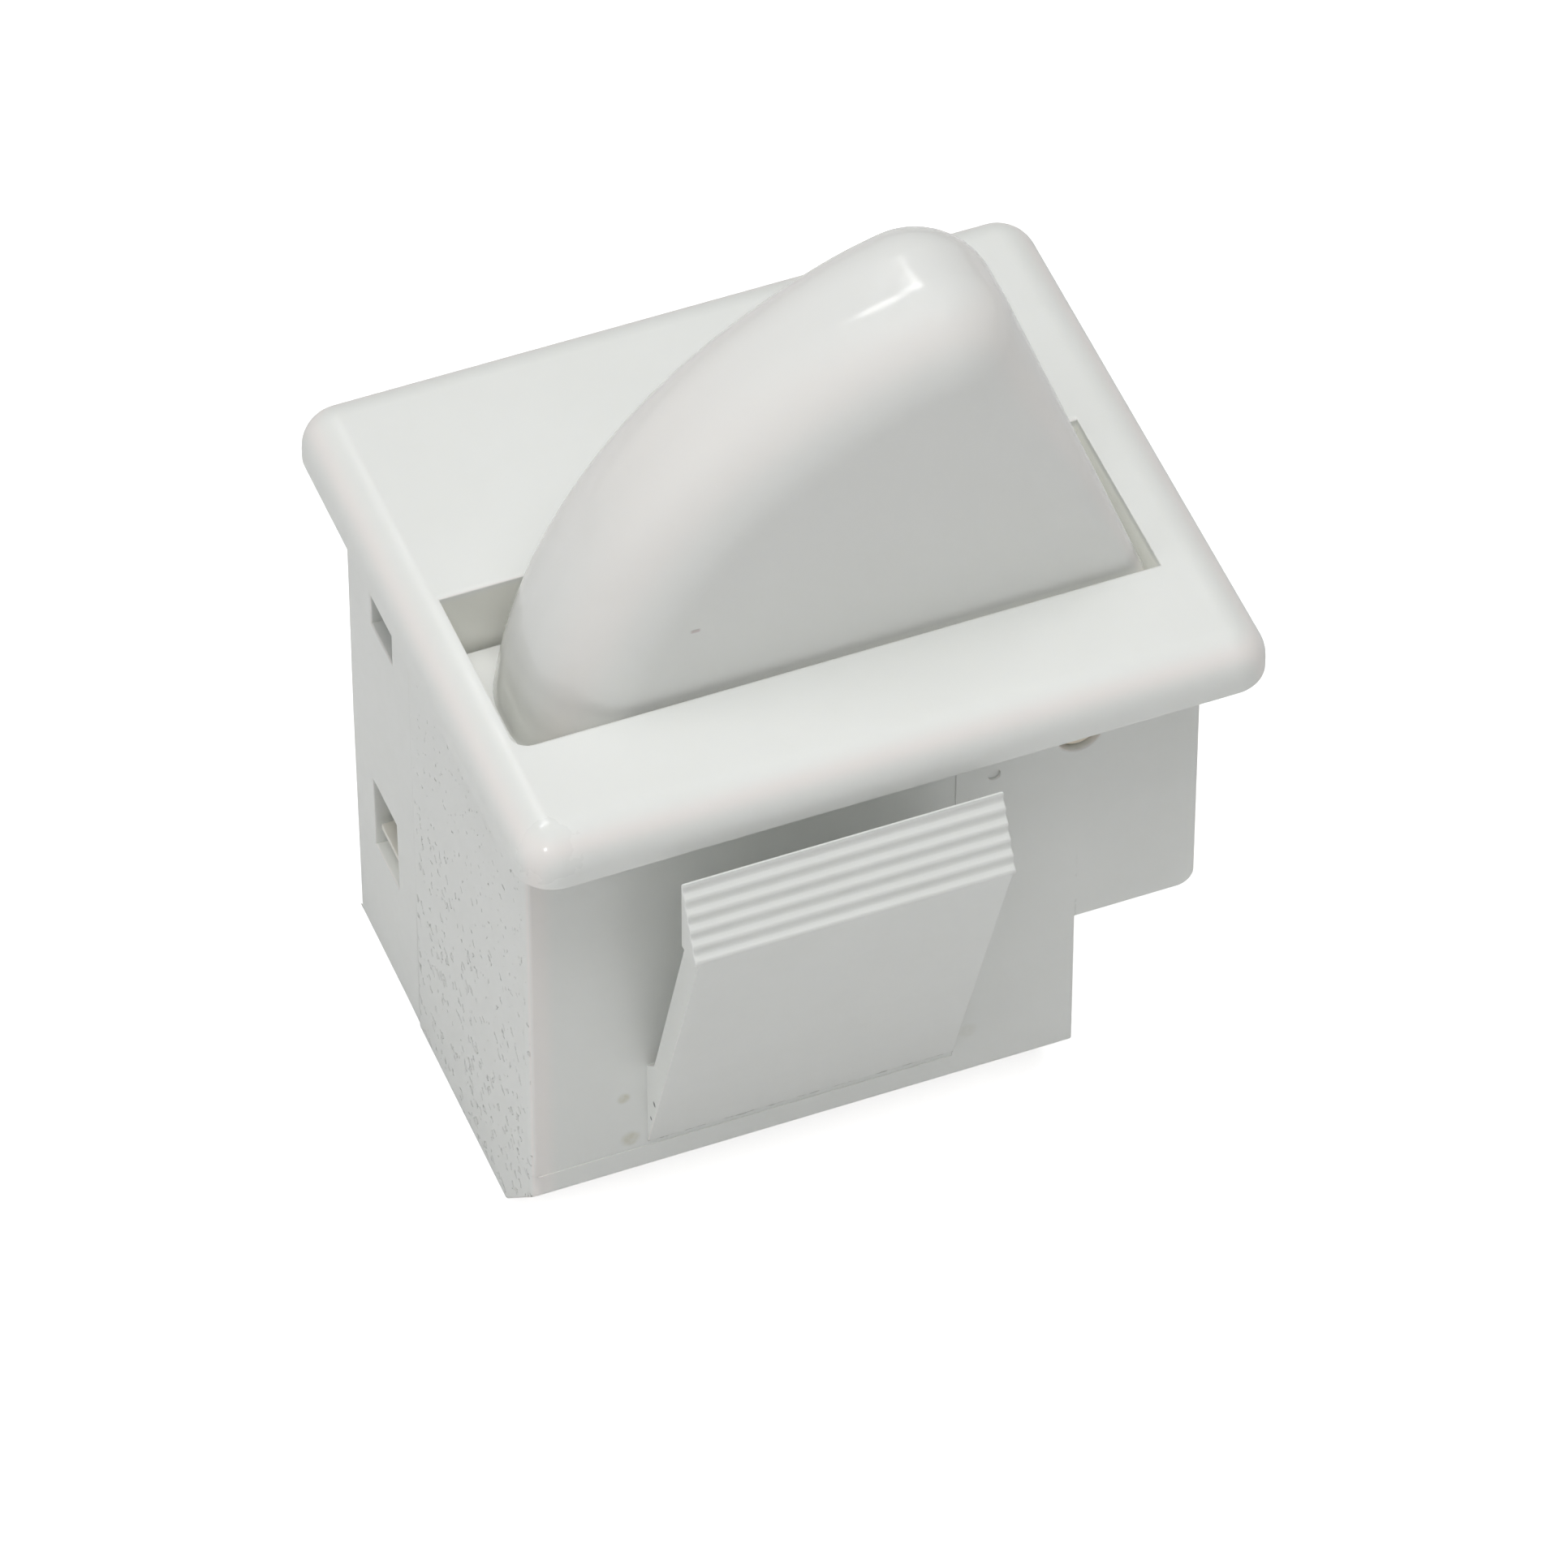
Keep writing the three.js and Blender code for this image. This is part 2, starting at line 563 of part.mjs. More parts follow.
/** Cage under the slider: the bridge passes through its window along X. */
function cage(centreX, windowTop, windowBottom) {
  const outer = box(
    centreX - CAGE.halfX, centreX + CAGE.halfX, CONTACT_Y - CAGE.halfY, CONTACT_Y + CAGE.halfY,
    windowBottom - CAGE.bar, SLIDER.bottom + 0.5,
  );
  const window = box(
    centreX - 3, centreX + 3, CONTACT_Y - CAGE.windowY, CONTACT_Y + CAGE.windowY, windowBottom, windowTop,
  );
  return cut(outer, window);
}

const lampWindow = { top: lampBridgeTop + GAP, bottom: lampBridgeTop - BRIDGE.thickness - LAMP.springRoom };
const fanWindow = { top: SLIDER.bottom, bottom: FAN.bridgeBottom - GAP };

function contactSlider() {
  const plate = box(SLIDER.left, SLIDER.right, SLIDER.front, SLIDER.back, SLIDER.bottom, SLIDER.top);
  const top = PIVOT.z - CAM.height - GAP;
  const finger = box(FINGER.left, SLIDER.right, FINGER.front, SLIDER.front + 2, top - FINGER.thickness, top);
  const body = join(
    plate,
    finger,
    cage(LAMP.x, lampWindow.top, lampWindow.bottom),
    cage(FAN.x, fanWindow.top, fanWindow.bottom),
  );
  const ports = [-1, 1].map((side) => {
    const x = LAMP.x + side * CIRCUIT.contactX;
    return box(x - 1.2, x + 1.2, CONTACT_Y - 2.5, CONTACT_Y + 2.5, SLIDER.bottom - 1, SLIDER.bottom + 0.8);
  });
  return geometryOf(cut(body, ...ports));
}

function contactBase() {
  const plate = box(BASE.left, BASE.right, BASE.front, BASE.back, BASE.bottom, BASE.top);
  const divider = box(DIVIDER.left, DIVIDER.right, BASE.front, BASE.back, BASE.top - 0.5, SEAT.bottom + 0.2);
  const seat = box(
    SEAT.x - SEAT.halfX, SEAT.x + SEAT.halfX, CONTACT_Y - SEAT.halfY, CONTACT_Y + SEAT.halfY, SEAT.bottom, SEAT.top,
  );
  const peg = rodZ(SEAT.x, CONTACT_Y, 0.8, SEAT.top - 0.2, SEAT.top + 1.2, 12);
  const barbs = [
    [BASE.left + 0.5, CASE.left + 0.25],
    [BASE.right - 0.5, STEP_X - 0.25],
  ].map(([root, tip]) =>
    prismY(
      [[root, BASE.bottom + 0.3], [tip, BARB.low], [tip, BARB.high], [root, BARB.high]],
      WINDOW.front + 0.3,
      WINDOW.back - 0.3,
    ),
  );
  const slots = [LAMP.x, FAN.x].flatMap((x) =>
    [-1, 1].map((side) => {
      const face = x + side * CIRCUIT.halfSpan;
      const [x0, x1] = side < 0 ? [face - SHEET, face] : [face, face + SHEET];
      const half = BLADE.width / 2 + GAP;
      return box(x0 - GAP, x1 + GAP, CONTACT_Y - half, CONTACT_Y + half, BASE.bottom - 1, BASE.top + 1);
    }),
  );
  return geometryOf(cut(join(plate, divider, seat, peg, ...barbs), ...slots));
}

// ---------------------------------------------------------------- assembly
const group = new THREE.Group();
group.position.y = -SEAT_POINT.y;

function add(name, geometry, finish) {
  const mesh = new THREE.Mesh(geometry, new THREE.MeshStandardMaterial(COLOURS[finish]));
  mesh.name = name;
  group.add(mesh);
  return mesh;
}

add("bezel_housing", housing(), "white");
const { wing } = wingOutlines();
add("front_snap_wing", wingGeometry(wing), "white");
add("rear_snap_wing", wingGeometry(mirrored(wing)), "white");
add("rocker_arm", rockerArm(), "rocker");
add("pivot_pin", pivotPin(), "natural");
add("return_spring", returnSpring(), "steel");
add("contact_slider", contactSlider(), "natural");
add("contact_base", contactBase(), "natural");
add("slider_spring", coilSpring(SEAT.x, CONTACT_Y, 1.25, 0.18, SEAT.top + GAP, SLIDER.bottom - GAP, 6), "steel");

for (const [side, letter] of [[-1, "a"], [1, "b"]]) {
  const lampX = LAMP.x + side * CIRCUIT.contactX;
  const fanX = FAN.x + side * CIRCUIT.contactX;
  add(`lamp_terminal_${letter}`, terminal(LAMP.x, side, LAMP.shelfTop), "tinned");
  add(`fan_terminal_${letter}`, terminal(FAN.x, side, fanShelfTop), "tinned");
  add(`lamp_fixed_contact_${letter}`, rivet(lampX, LAMP.shelfTop - SHEET, SHEET, -1), "silver");
  add(`fan_fixed_contact_${letter}`, rivet(fanX, fanShelfTop, SHEET, 1), "silver");
  add(`lamp_moving_contact_${letter}`, rivet(lampX, lampBridgeTop, BRIDGE.thickness, 1), "silver");
  add(`fan_moving_contact_${letter}`, rivet(fanX, FAN.bridgeBottom, BRIDGE.thickness, -1), "silver");
}

add("lamp_bridge", bridge(LAMP.x, lampBridgeTop - BRIDGE.thickness), "brass");
add("fan_bridge", bridge(FAN.x, FAN.bridgeBottom), "brass");
const lampSpringTop = lampBridgeTop - BRIDGE.thickness - GAP;
add("lamp_contact_spring", coilSpring(LAMP.x, CONTACT_Y, 0.85, 0.15, lampWindow.bottom + GAP, lampSpringTop, 3), "steel");
const fanSpringLow = FAN.bridgeBottom + BRIDGE.thickness + GAP;
add("fan_contact_spring", coilSpring(FAN.x, CONTACT_Y, 0.85, 0.15, fanSpringLow, SLIDER.bottom - GAP, 4), "steel");

export default group;
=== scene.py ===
"""Looks of a snap-in door switch: moulded shells, springs, contacts, materials, light and camera.

Shapes are drawn in millimetres in the part's layout: the origin is the flange's centre on its
underside, +Z points out of the panel and -Y is the front. IN_FRAME takes them to the row's metres.
"""
import math

import bmesh
import bpy
from mathutils import Matrix, Vector


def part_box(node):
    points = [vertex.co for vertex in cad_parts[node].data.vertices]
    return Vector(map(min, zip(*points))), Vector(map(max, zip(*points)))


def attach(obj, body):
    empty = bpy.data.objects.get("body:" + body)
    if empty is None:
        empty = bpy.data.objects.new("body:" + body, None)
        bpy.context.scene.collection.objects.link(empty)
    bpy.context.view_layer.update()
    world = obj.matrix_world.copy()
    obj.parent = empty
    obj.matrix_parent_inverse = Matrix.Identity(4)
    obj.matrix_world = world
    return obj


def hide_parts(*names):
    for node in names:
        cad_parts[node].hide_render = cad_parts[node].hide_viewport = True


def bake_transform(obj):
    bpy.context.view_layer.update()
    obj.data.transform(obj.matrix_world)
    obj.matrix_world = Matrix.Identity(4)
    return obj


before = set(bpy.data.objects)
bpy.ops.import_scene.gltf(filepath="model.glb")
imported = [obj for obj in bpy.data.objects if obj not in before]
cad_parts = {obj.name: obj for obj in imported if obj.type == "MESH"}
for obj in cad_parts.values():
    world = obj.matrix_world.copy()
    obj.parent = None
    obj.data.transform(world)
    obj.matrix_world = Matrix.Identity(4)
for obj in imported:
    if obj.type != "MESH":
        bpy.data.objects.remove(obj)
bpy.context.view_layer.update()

# --- driving dimensions
# Millimetres and degrees. A cutter ends PAST mm beyond the face it opens, or FAR mm from the middle.
MM = 0.001
FLANGE = {"thickness": 2.6, "edge_r": 1.9, "corner_r": 1.95, "lip_r": 0.15}
CASE = {"left": -16.7, "right": 15.9, "front": -11.5, "back": 12.0, "corner_r": 0.85}
DEPTH = {"deep": 28.5, "shallow": 16.2}
STEP_X = 10.0
WALL = 1.25
CHAMFER = {"z": -24.55, "y": -7.9, "wall": 1.1}
DRAFT = {"y": 3.5, "z": -14.7, "depth": 0.1}
APERTURE = {"left": -15.98, "right": 14.9, "front": -8.8, "back": 1.03, "corner_r": 0.7}
PARTITION_BACK = 2.4
PIN_HOLE_R = 1.1
FINGER_SLOT = {"left": 7.2, "top": -6.4, "overlap": 0.2}
WINDOWS = {
    "left": {"side": "left", "front": 6.0, "back": 9.1, "top": -17.1, "bottom": -21.5},
    "upper": {"side": "left", "front": 5.8, "back": 8.6, "top": -1.7, "bottom": -6.1},
    "right": {"side": "step", "front": 6.0, "back": 9.1, "top": -17.1, "bottom": -21.5},
}
SPRING_STOP = {"left": 13.1, "back": -3.0, "top": -8.0}
WITNESS = {"right": 4.0, "bottom": -23.3, "depth": 0.06}
EJECTOR = {"x": 5.86, "z": -5.06, "r": 0.31, "depth": 0.13}
CASE_EDGE = {"upright": 0.5, "step": 0.3, "plain": 0.12, "ejector": 0.05, "witness": 0.02}
OPENING_EDGE = {"back": 0.3, "front": 0.2, "right": 0.15, "left": 0.08}

ROCKER = {"r": 25.0, "fillet": 4.0, "side_fillet": 1.5, "corner_r": 3.9, "front": -8.5, "back": 0.7}
RIM_END_DEG = 189
SIDE = {"offset": 6.1, "tilt": 19.2, "clip_x": 14.5, "foot_r": 0.8, "foot_share": 0.4, "head_share": 0.35}
SIDE_LEVELS = (-8, -6, -4, -2.5)
SKIRT = {"r": 25.2, "top": -1.0, "bottom_deg": 177.5, "end_deg": 315}
SHELL = {"r": 21.8, "offset": 4.2, "right": 13.2, "front": -7.1, "back": -0.7, "web": -2.6, "hub_r": 6.4}
HUB = {"r": 2.1, "outer_r": 2.9, "bore_r": 1.13}
SHELL_BOTTOM = -10
CAM = {"base_r": 1.9, "height": 3.0, "front": -1.9, "back": 0.5, "travel": 62.0, "lead": 8, "steps": 24}

WING_ROOT = {"outer_z": -23.0, "inner_z": -17.8, "ledge_y": -12.3, "ledge_z": -17.0}
WING_HEAD = {"y": -18.2, "z": -4.0, "top_y": -16.6, "top_z": -0.5, "inner_y": -16.4, "inner_z": -4.6}
RIDGES = {"count": 6, "depth": 0.38, "rise": 0.29, "proud": 0.15}
WING_BEND = {"start": (-11.9, -19.2), "end": (-13.7, -14.4)}
CASE_MID_Y = (CASE["front"] + CASE["back"]) / 2

RETURN_SPRING = {"mean_r": 2.75, "wire_r": 0.28, "turns": 3, "front": -6.6, "back": -3.1}
SPRING_LEG = {"lean": 10, "length": 7, "shares": (0.3, 0.6, 1), "stop_drops": (7.5, 5, 2.5)}
RIVET = {"head": 0.6, "dome": 0.55, "rim": 0.05, "tail_r": 0.8, "tail": 0.25, "bevel": 0.08, "shank_r": 0.55}
TAB = {"sheet": 0.8, "shelf_half": 2.0, "tip": 1.0, "rivet_in": 2.1, "rivet_hole_r": 0.62}
TAB_HOLE = {"z": -25.6, "r": 0.9}
BEND_R = 0.5

FAR = 20
PAST = 1

low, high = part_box("bezel_housing")
ORIGIN = Vector(((low.x + high.x) / 2, (low.y + high.y) / 2, high.z - FLANGE["thickness"] * MM))
IN_FRAME = Matrix.Translation(ORIGIN) @ Matrix.Scale(MM, 4)
TO_LAYOUT = IN_FRAME.inverted()


def layout_box(node):
    """Lowest and highest corner of a CAD node, in layout millimetres."""
    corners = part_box(node)
    return TO_LAYOUT @ corners[0], TO_LAYOUT @ corners[1]


def layout_middle(node):
    corners = layout_box(node)
    return (corners[0] + corners[1]) / 2


HOUSING_LOW, HOUSING_HIGH = layout_box("bezel_housing")
PIVOT = layout_middle("pivot_pin")
CONTACT_Y = layout_middle("slider_spring").y


# --- outlines
def arc(cx, cy, r, start, end, steps):
    """Points of an arc from one angle to another, in degrees."""
    angles = [math.radians(start + (end - start) * i / steps) for i in range(steps + 1)]
    return [(cx + r * math.cos(a), cy + r * math.sin(a)) for a in angles]


def rounded_rectangle(length, width, r, steps):
    x, y = length / 2 - r, width / 2 - r
    corners = ((x, y, 0), (-x, y, 90), (-x, -y, 180), (x, -y, 270))
    return [p for cx, cy, start in corners for p in arc(cx, cy, r, start, start + 90, steps)]


def outline_normals(points):
    """Unit outward normal at each point of a counter-clockwise outline."""
    normals = []
    for i in range(len(points)):
        before, after = points[i - 1], points[(i + 1) % len(points)]
        normals.append(Vector((after[1] - before[1], before[0] - after[0])).normalized())
    return normals


def circle(cx, cy, r, steps=48):
    return arc(cx, cy, r, 0, 360, steps)[:-1]


# --- solids, in layout millimetres
def mesh_object(bm, name="solid"):
    bmesh.ops.recalc_face_normals(bm, faces=bm.faces)
    mesh = bpy.data.meshes.new(name)
    bm.to_mesh(mesh)
    bm.free()
    obj = bpy.data.objects.new(name, mesh)
    bpy.context.scene.collection.objects.link(obj)
    return obj


def rings_solid(rings):
    """Closed solid through a row of rings of equal length, capped at both ends."""
    bm = bmesh.new()
    rows = [[bm.verts.new(p) for p in ring] for ring in rings]
    count = len(rows[0])
    for a, b in zip(rows, rows[1:]):
        for i in range(count):
            j = (i + 1) % count
            bm.faces.new((a[i], a[j], b[j], b[i]))
    bm.faces.new(list(reversed(rows[0])))
    bm.faces.new(rows[-1])
    return mesh_object(bm)


def prism(axis, points, low, high):
    """Prism along X, Y or Z; its outline is (y, z), (x, z) or (x, y)."""
    place = {
        "X": lambda p, t: (t, p[0], p[1]),
        "Y": lambda p, t: (p[0], t, p[1]),
        "Z": lambda p, t: (p[0], p[1], t),
    }[axis]
    return rings_solid([[place(p, t) for p in points] for t in (low, high)])


def block(x0, x1, y0, y1, z0, z1):
    return prism("Z", [(x0, y0), (x1, y0), (x1, y1), (x0, y1)], z0, z1)


def rounded_slab(points, z0, z1, low_r, high_r, steps):
    """Convex slab along Z whose rims are rounded, with a radius for each outline point."""
    normals = outline_normals(points)
    rings = []
    for level, radii, side in ((z0, low_r, 1), (z1, high_r, -1)):
        turns = [k / steps * math.pi / 2 for k in range(steps + 1)]
        for t in turns[::side]:
            inset, rise = 1 - math.sin(t), 1 - math.cos(t)
            rings.append([
                (p[0] - n.x * r * inset, p[1] - n.y * r * inset, level + side * r * rise)
                for p, n, r in zip(points, normals, radii)
            ])
    return rings_solid(rings)


def lathe(profile, steps=40):
    """Solid of revolution about Z from (radius, height) points that start and end on the axis."""
    bm = bmesh.new()
    verts = [bm.verts.new((r, 0, h)) for r, h in profile]
    edges = [bm.edges.new(pair) for pair in zip(verts, verts[1:])]
    bmesh.ops.spin(bm, geom=verts + edges, cent=(0, 0, 0), axis=(0, 0, 1), angle=math.tau, steps=steps)
    bmesh.ops.remove_doubles(bm, verts=bm.verts, dist=1e-4)
    return mesh_object(bm)


def tube(points, r, sides=16):
    """Round wire along a path, with flat ends."""
    path = [Vector(p) for p in points]
    tangents = [(b - a).normalized() for a, b in zip(path[:1] + path[:-1], path[1:] + path[-1:])]
    tangents[0] = (path[1] - path[0]).normalized()
    side = tangents[0].orthogonal().normalized()
    rings = []
    for centre, tangent in zip(path, tangents):
        side = (side - tangent * side.dot(tangent)).normalized()
        up = tangent.cross(side)
        rings.append([
            centre + (side * math.cos(a) + up * math.sin(a)) * r
            for a in (k / sides * math.tau for k in range(sides))
        ])
    return rings_solid(rings)


def bake(obj):
    """Applies an object's modifiers to its mesh."""
    graph = bpy.context.evaluated_depsgraph_get()
    mesh = bpy.data.meshes.new_from_object(obj.evaluated_get(graph), depsgraph=graph)
    obj.modifiers.clear()
    obj.data = mesh


def boolean(operation, base, *tools):
    for tool in tools:
        modifier = base.modifiers.new(operation, "BOOLEAN")
        modifier.operation = operation
        modifier.solver = "EXACT"
        modifier.object = tool
    bake(base)
    for tool in tools:
        bpy.data.objects.remove(tool)
    return base


def join(base, *tools):
    return boolean("UNION", base, *tools)


def cut(base, *tools):
    return boolean("DIFFERENCE", base, *tools)


def keep_inside(base, tool):
    return boolean("INTERSECT", base, tool)


def moved(obj, matrix):
    obj.data.transform(matrix)
    return obj


SHARP_DEG = 28
SMOOTH_DEG = 36


def round_edges(obj, width_of, segments=3):
    """Rounds sharp edges. width_of(middle, along, convex) gives an edge's width in mm, or 0."""
    bm = bmesh.new()
    bm.from_mesh(obj.data)
    bmesh.ops.remove_doubles(bm, verts=bm.verts, dist=1e-3)
    bmesh.ops.dissolve_limit(bm, angle_limit=math.radians(0.2), verts=bm.verts, edges=bm.edges)
    bmesh.ops.recalc_face_normals(bm, faces=bm.faces)
    widths = {}
    for edge in bm.edges:
        if len(edge.link_faces) != 2:
            continue
        turn = edge.calc_face_angle_signed(0)
        if abs(turn) < math.radians(SHARP_DEG):
            continue
        ends = [v.co for v in edge.verts]
        along = (ends[1] - ends[0]).normalized()
        width = width_of((ends[0] + ends[1]) / 2, along, turn > 0)
        if width > 0:
            widths[edge.index] = width
    widest = max(widths.values())
    layer = bm.edges.layers.float.new("bevel_weight_edge")
    bm.edges.ensure_lookup_table()
    for index, width in widths.items():
        bm.edges[index][layer] = width / widest
    bm.to_mesh(obj.data)
    bm.free()
    modifier = obj.modifiers.new("round", "BEVEL")
    modifier.limit_method = "WEIGHT"
    modifier.width = widest
    modifier.segments = segments
    modifier.use_clamp_overlap = False
    modifier.miter_outer = "MITER_SHARP"
    bake(obj)


def near(value, *levels):
    """Whether a value is at one of the levels, within 0.02 mm."""
    return any(abs(value - level) < 0.02 for level in levels)


def place_piece(obj, name, slot, node, body, material=None):
    """Takes a finished solid to the row's frame, names it, and hides the CAD node it stands for.

    The body is a name to attach the piece to; a tuple (first, second, start, end) is not read, and such a
    piece stays unattached in the row's frame.
    The material is the slot's own unless another is named.
    """
    obj.name = obj.data.name = name
    moved(obj, IN_FRAME)
    obj.data.materials.clear()
    obj.data.materials.append(MATERIALS[material or slot])
    obj.data.shade_smooth()
    obj.data.set_sharp_from_angle(angle=math.radians(SMOOTH_DEG))
    modifier = obj.modifiers.new("normals", "WEIGHTED_NORMAL")
    modifier.keep_sharp = True
    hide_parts(node)
    if isinstance(body, str):
        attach(obj, body)
    else:
        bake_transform(obj)


# --- materials
class Tree:
    """Short calls for building a material's nodes. Coordinates are layout millimetres."""

    def __init__(self, name):
        self.material = bpy.data.materials.new(name)
        self.material.use_nodes = True
        self.nodes = self.material.node_tree.nodes
        self.links = self.material.node_tree.links
        self.surface = self.nodes["Principled BSDF"]
        self.source = self.add("ShaderNodeTexCoord")
        scaled = self.add("ShaderNodeMapping", Scale=(1 / MM,) * 3, Location=tuple(-ORIGIN / MM))
        self.links.new(self.source.outputs["Object"], scaled.inputs["Vector"])
        self.place = scaled.outputs["Vector"]

    def add(self, kind, **inputs):
        node = self.nodes.new(kind)
        for key, value in inputs.items():
            self.plug(node.inputs[key.replace("_", " ")], value)
        return node

    def plug(self, socket, value):
        if isinstance(value, bpy.types.NodeSocket):
            self.links.new(value, socket)
        else:
            socket.default_value = value

    def math(self, operation, *values):
        node = self.nodes.new("ShaderNodeMath")
        node.operation = operation
        for socket, value in zip(node.inputs, values):
            self.plug(socket, value)
        return node.outputs[0]

    def times(self, first, *others):
        """Product of values, which is also where all of several masks are 1."""
        for other in others:
            first = self.math("MULTIPLY", first, other)
        return first

    def most(self, first, *others):
        """Largest of values, which is also where any of several masks is 1."""
        for other in others:
            first = self.math("MAXIMUM", first, other)
        return first

    def below(self, value, limit):
        """1 where a value is under a limit, else 0."""
        return self.math("LESS_THAN", value, limit)

    def noise(self, scale, detail, place=None):
        node = self.add("ShaderNodeTexNoise", Scale=scale, Detail=detail, Vector=place or self.place)
        return node.outputs["Fac"]

    def ramp(self, value, low, high, to_low=0.0, to_high=1.0):
        node = self.add("ShaderNodeMapRange", Value=value)
        node.interpolation_type = "SMOOTHSTEP"
        for key, number in (("From Min", low), ("From Max", high), ("To Min", to_low), ("To Max", to_high)):
            node.inputs[key].default_value = number
        return node.outputs["Result"]

    def stretched(self, scale):
        node = self.add("ShaderNodeMapping", Vector=self.place, Scale=scale)
        return node.outputs["Vector"]

    def axis(self, name):
        return self.add("ShaderNodeSeparateXYZ", Vector=self.place).outputs[name]

    def slant(self):
        """1 where the surface turns between two faces, as on a rounded edge; 0 on the faces."""
        turned = self.add("ShaderNodeSeparateXYZ", Vector=self.source.outputs["Normal"])
        along = [self.math("ABSOLUTE", turned.outputs[name]) for name in "XYZ"]
        return self.ramp(self.most(*along), 0.72, 0.97, 1.0, 0.0)

    def from_middle(self, name, middle=0.0):
        """Distance along an axis from a middle."""
        return self.math("ABSOLUTE", self.math("SUBTRACT", self.axis(name), middle))

    def spot(self, centre, radius):
        """1 at a point, falling to 0 at a radius from it."""
        node = self.nodes.new("ShaderNodeVectorMath")
        node.operation = "DISTANCE"
        self.plug(node.inputs[0], self.place)
        node.inputs[1].default_value = centre
        return self.ramp(node.outputs["Value"], radius * 0.35, radius, 1.0, 0.0)

    def blend(self, factor, first, second):
        node = self.nodes.new("ShaderNodeMix")
        node.data_type = "RGBA"
        self.plug(node.inputs["Factor"], factor)
        for key, value in (("A", first), ("B", second)):
            sockets = [s for s in node.inputs if s.name == key and s.type == "RGBA"]
            self.plug(sockets[0], value)
        return [s for s in node.outputs if s.type == "RGBA"][0]

    def bump(self, height):
        """Relief from a height in millimetres."""
        node = self.add("ShaderNodeBump", Height=height, Distance=MM)
        self.links.new(node.outputs["Normal"], self.surface.inputs["Normal"])

    def set(self, **inputs):
        for key, value in inputs.items():
            self.plug(self.surface.inputs[key.replace("_", " ")], value)


def rgba(r, g, b):
    return (r, g, b, 1.0)


def warmer(colour, glow_scale):
    """A colour with each channel scaled."""
    return rgba(*[c * w for c, w in zip(colour, glow_scale)])


def moulded(name, colour, shade, roughness, glow_scale, relief=0.0022):
    """Moulded thermoplastic: faint flow mottling, a painted warm glow on rounded edges, fine relief and
    uneven gloss.
    """
    t = Tree(name)
    mottle = t.ramp(t.noise(0.22, 3.0), 0.35, 0.7)
    base = t.blend(t.times(mottle, 0.5), rgba(*colour), rgba(*shade))
    slant = t.slant()
    off_wing_heads = t.below(t.from_middle("Y"), -WING_HEAD["top_y"] - 0.8)
    # Painted warm glow on rounded edges, left off the wing heads.
    base = t.blend(t.times(slant, off_wing_heads), base, warmer(colour, glow_scale))
    gloss = t.ramp(t.noise(1.4, 4.0), 0.3, 0.7, roughness - 0.05, roughness + 0.06)
    wave = t.times(t.noise(0.9, 1.0), relief * 2.2)
    grain = t.times(t.noise(9.0, 3.0), relief)
    t.set(Base_Color=base, Roughness=gloss, IOR=1.53, Subsurface_Weight=0.12, Subsurface_Scale=0.6 * MM)
    t.surface.inputs["Subsurface Radius"].default_value = (1.0, 0.95, 0.82)
    return t, base, t.math("ADD", wave, grain)


CASE_WHITE = (0.847, 0.860, 0.838)
CASE_SHADE = (0.828, 0.840, 0.814)
# Colour scale of the painted warm glow on the case's rounded edges and along its front left corner.
CASE_GLOW_SCALE = (1.06, 1.012, 1.01)
# Painted warm tint of the well's walls for the light inside it, also the colour of its painted glow.
PAINTED_WELL_TINT = (0.848, 0.852, 0.805)
STAIN = (0.58, 0.56, 0.42)
DUST = (0.38, 0.38, 0.35)
CRUMB = (0.12, 0.11, 0.10)
RUBBED_CORNER = (-16.8, -14.5, 2.0)
UNDER_FLANGE = -0.05
PITS = {"slant": 32, "stretch": 1.7, "scale": 1.25, "wander": (0.0, 0.9, 0.9), "largest": 0.3, "soft": 0.06}
PIT_TINT, PIT_DEPTH = 0.18, 0.28
SEAM_TINT, SEAM_DEPTH = 0.2, 0.07
ROOT_LINE_TINT, ROOT_LINE_DEPTH = 0.45, 0.04
# Strength of the painted glow in the well, from its left end to its right.
PAINTED_WELL_GLOW = (0.02, 0.13)


def side_wall(t):
    """1 on the case's left wall, under the flange."""
    on_wall = t.below(t.axis("X"), CASE["left"] + DRAFT["depth"] + 0.03)
    return t.times(on_wall, t.below(t.axis("Z"), UNDER_FLANGE))


def front_wall(t):
    """1 on the case's front wall."""
    return t.below(t.axis("Y"), CASE["front"] + 0.1)


def wall_pits(t):
    """Etched pits, slanted strokes that get denser downwards, on the front part of the left wall."""
    left_wall = side_wall(t)
    front_part = t.ramp(t.axis("Y"), DRAFT["y"] - 0.5, DRAFT["y"] - 0.1, 1.0, 0.0)
    density = t.ramp(t.axis("Z"), -20.0, -7.0, 1.0, 0.35)
    wander = t.add("ShaderNodeTexNoise", Scale=2.4, Detail=4.0, Vector=t.place)
    shift = t.nodes.new("ShaderNodeVectorMath")
    shift.operation = "MULTIPLY_ADD"
    t.plug(shift.inputs[0], wander.outputs["Color"])
    shift.inputs[1].default_value = PITS["wander"]
    t.plug(shift.inputs[2], t.place)
    slant = (math.radians(PITS["slant"]), 0, 0)
    turned = t.add("ShaderNodeMapping", Vector=shift.outputs["Vector"], Rotation=slant)
    split = t.add("ShaderNodeSeparateXYZ", Vector=turned.outputs["Vector"])
    across = t.times(split.outputs["Y"], PITS["stretch"])
    flat = t.add("ShaderNodeCombineXYZ", X=across, Y=split.outputs["Z"])
    cells = t.add("ShaderNodeTexVoronoi", Scale=PITS["scale"], Randomness=1.0, Vector=flat.outputs["Vector"])
    cells.voronoi_dimensions = "2D"
    tone = t.add("ShaderNodeSeparateXYZ", Vector=cells.outputs["Color"])
    size = t.times(t.ramp(tone.outputs["X"], 0.25, 1.0, 0.0, PITS["largest"]), density)
    pit = t.ramp(t.math("SUBTRACT", size, cells.outputs["Distance"]), 0.0, PITS["soft"])
    return t.times(left_wall, front_part, pit)


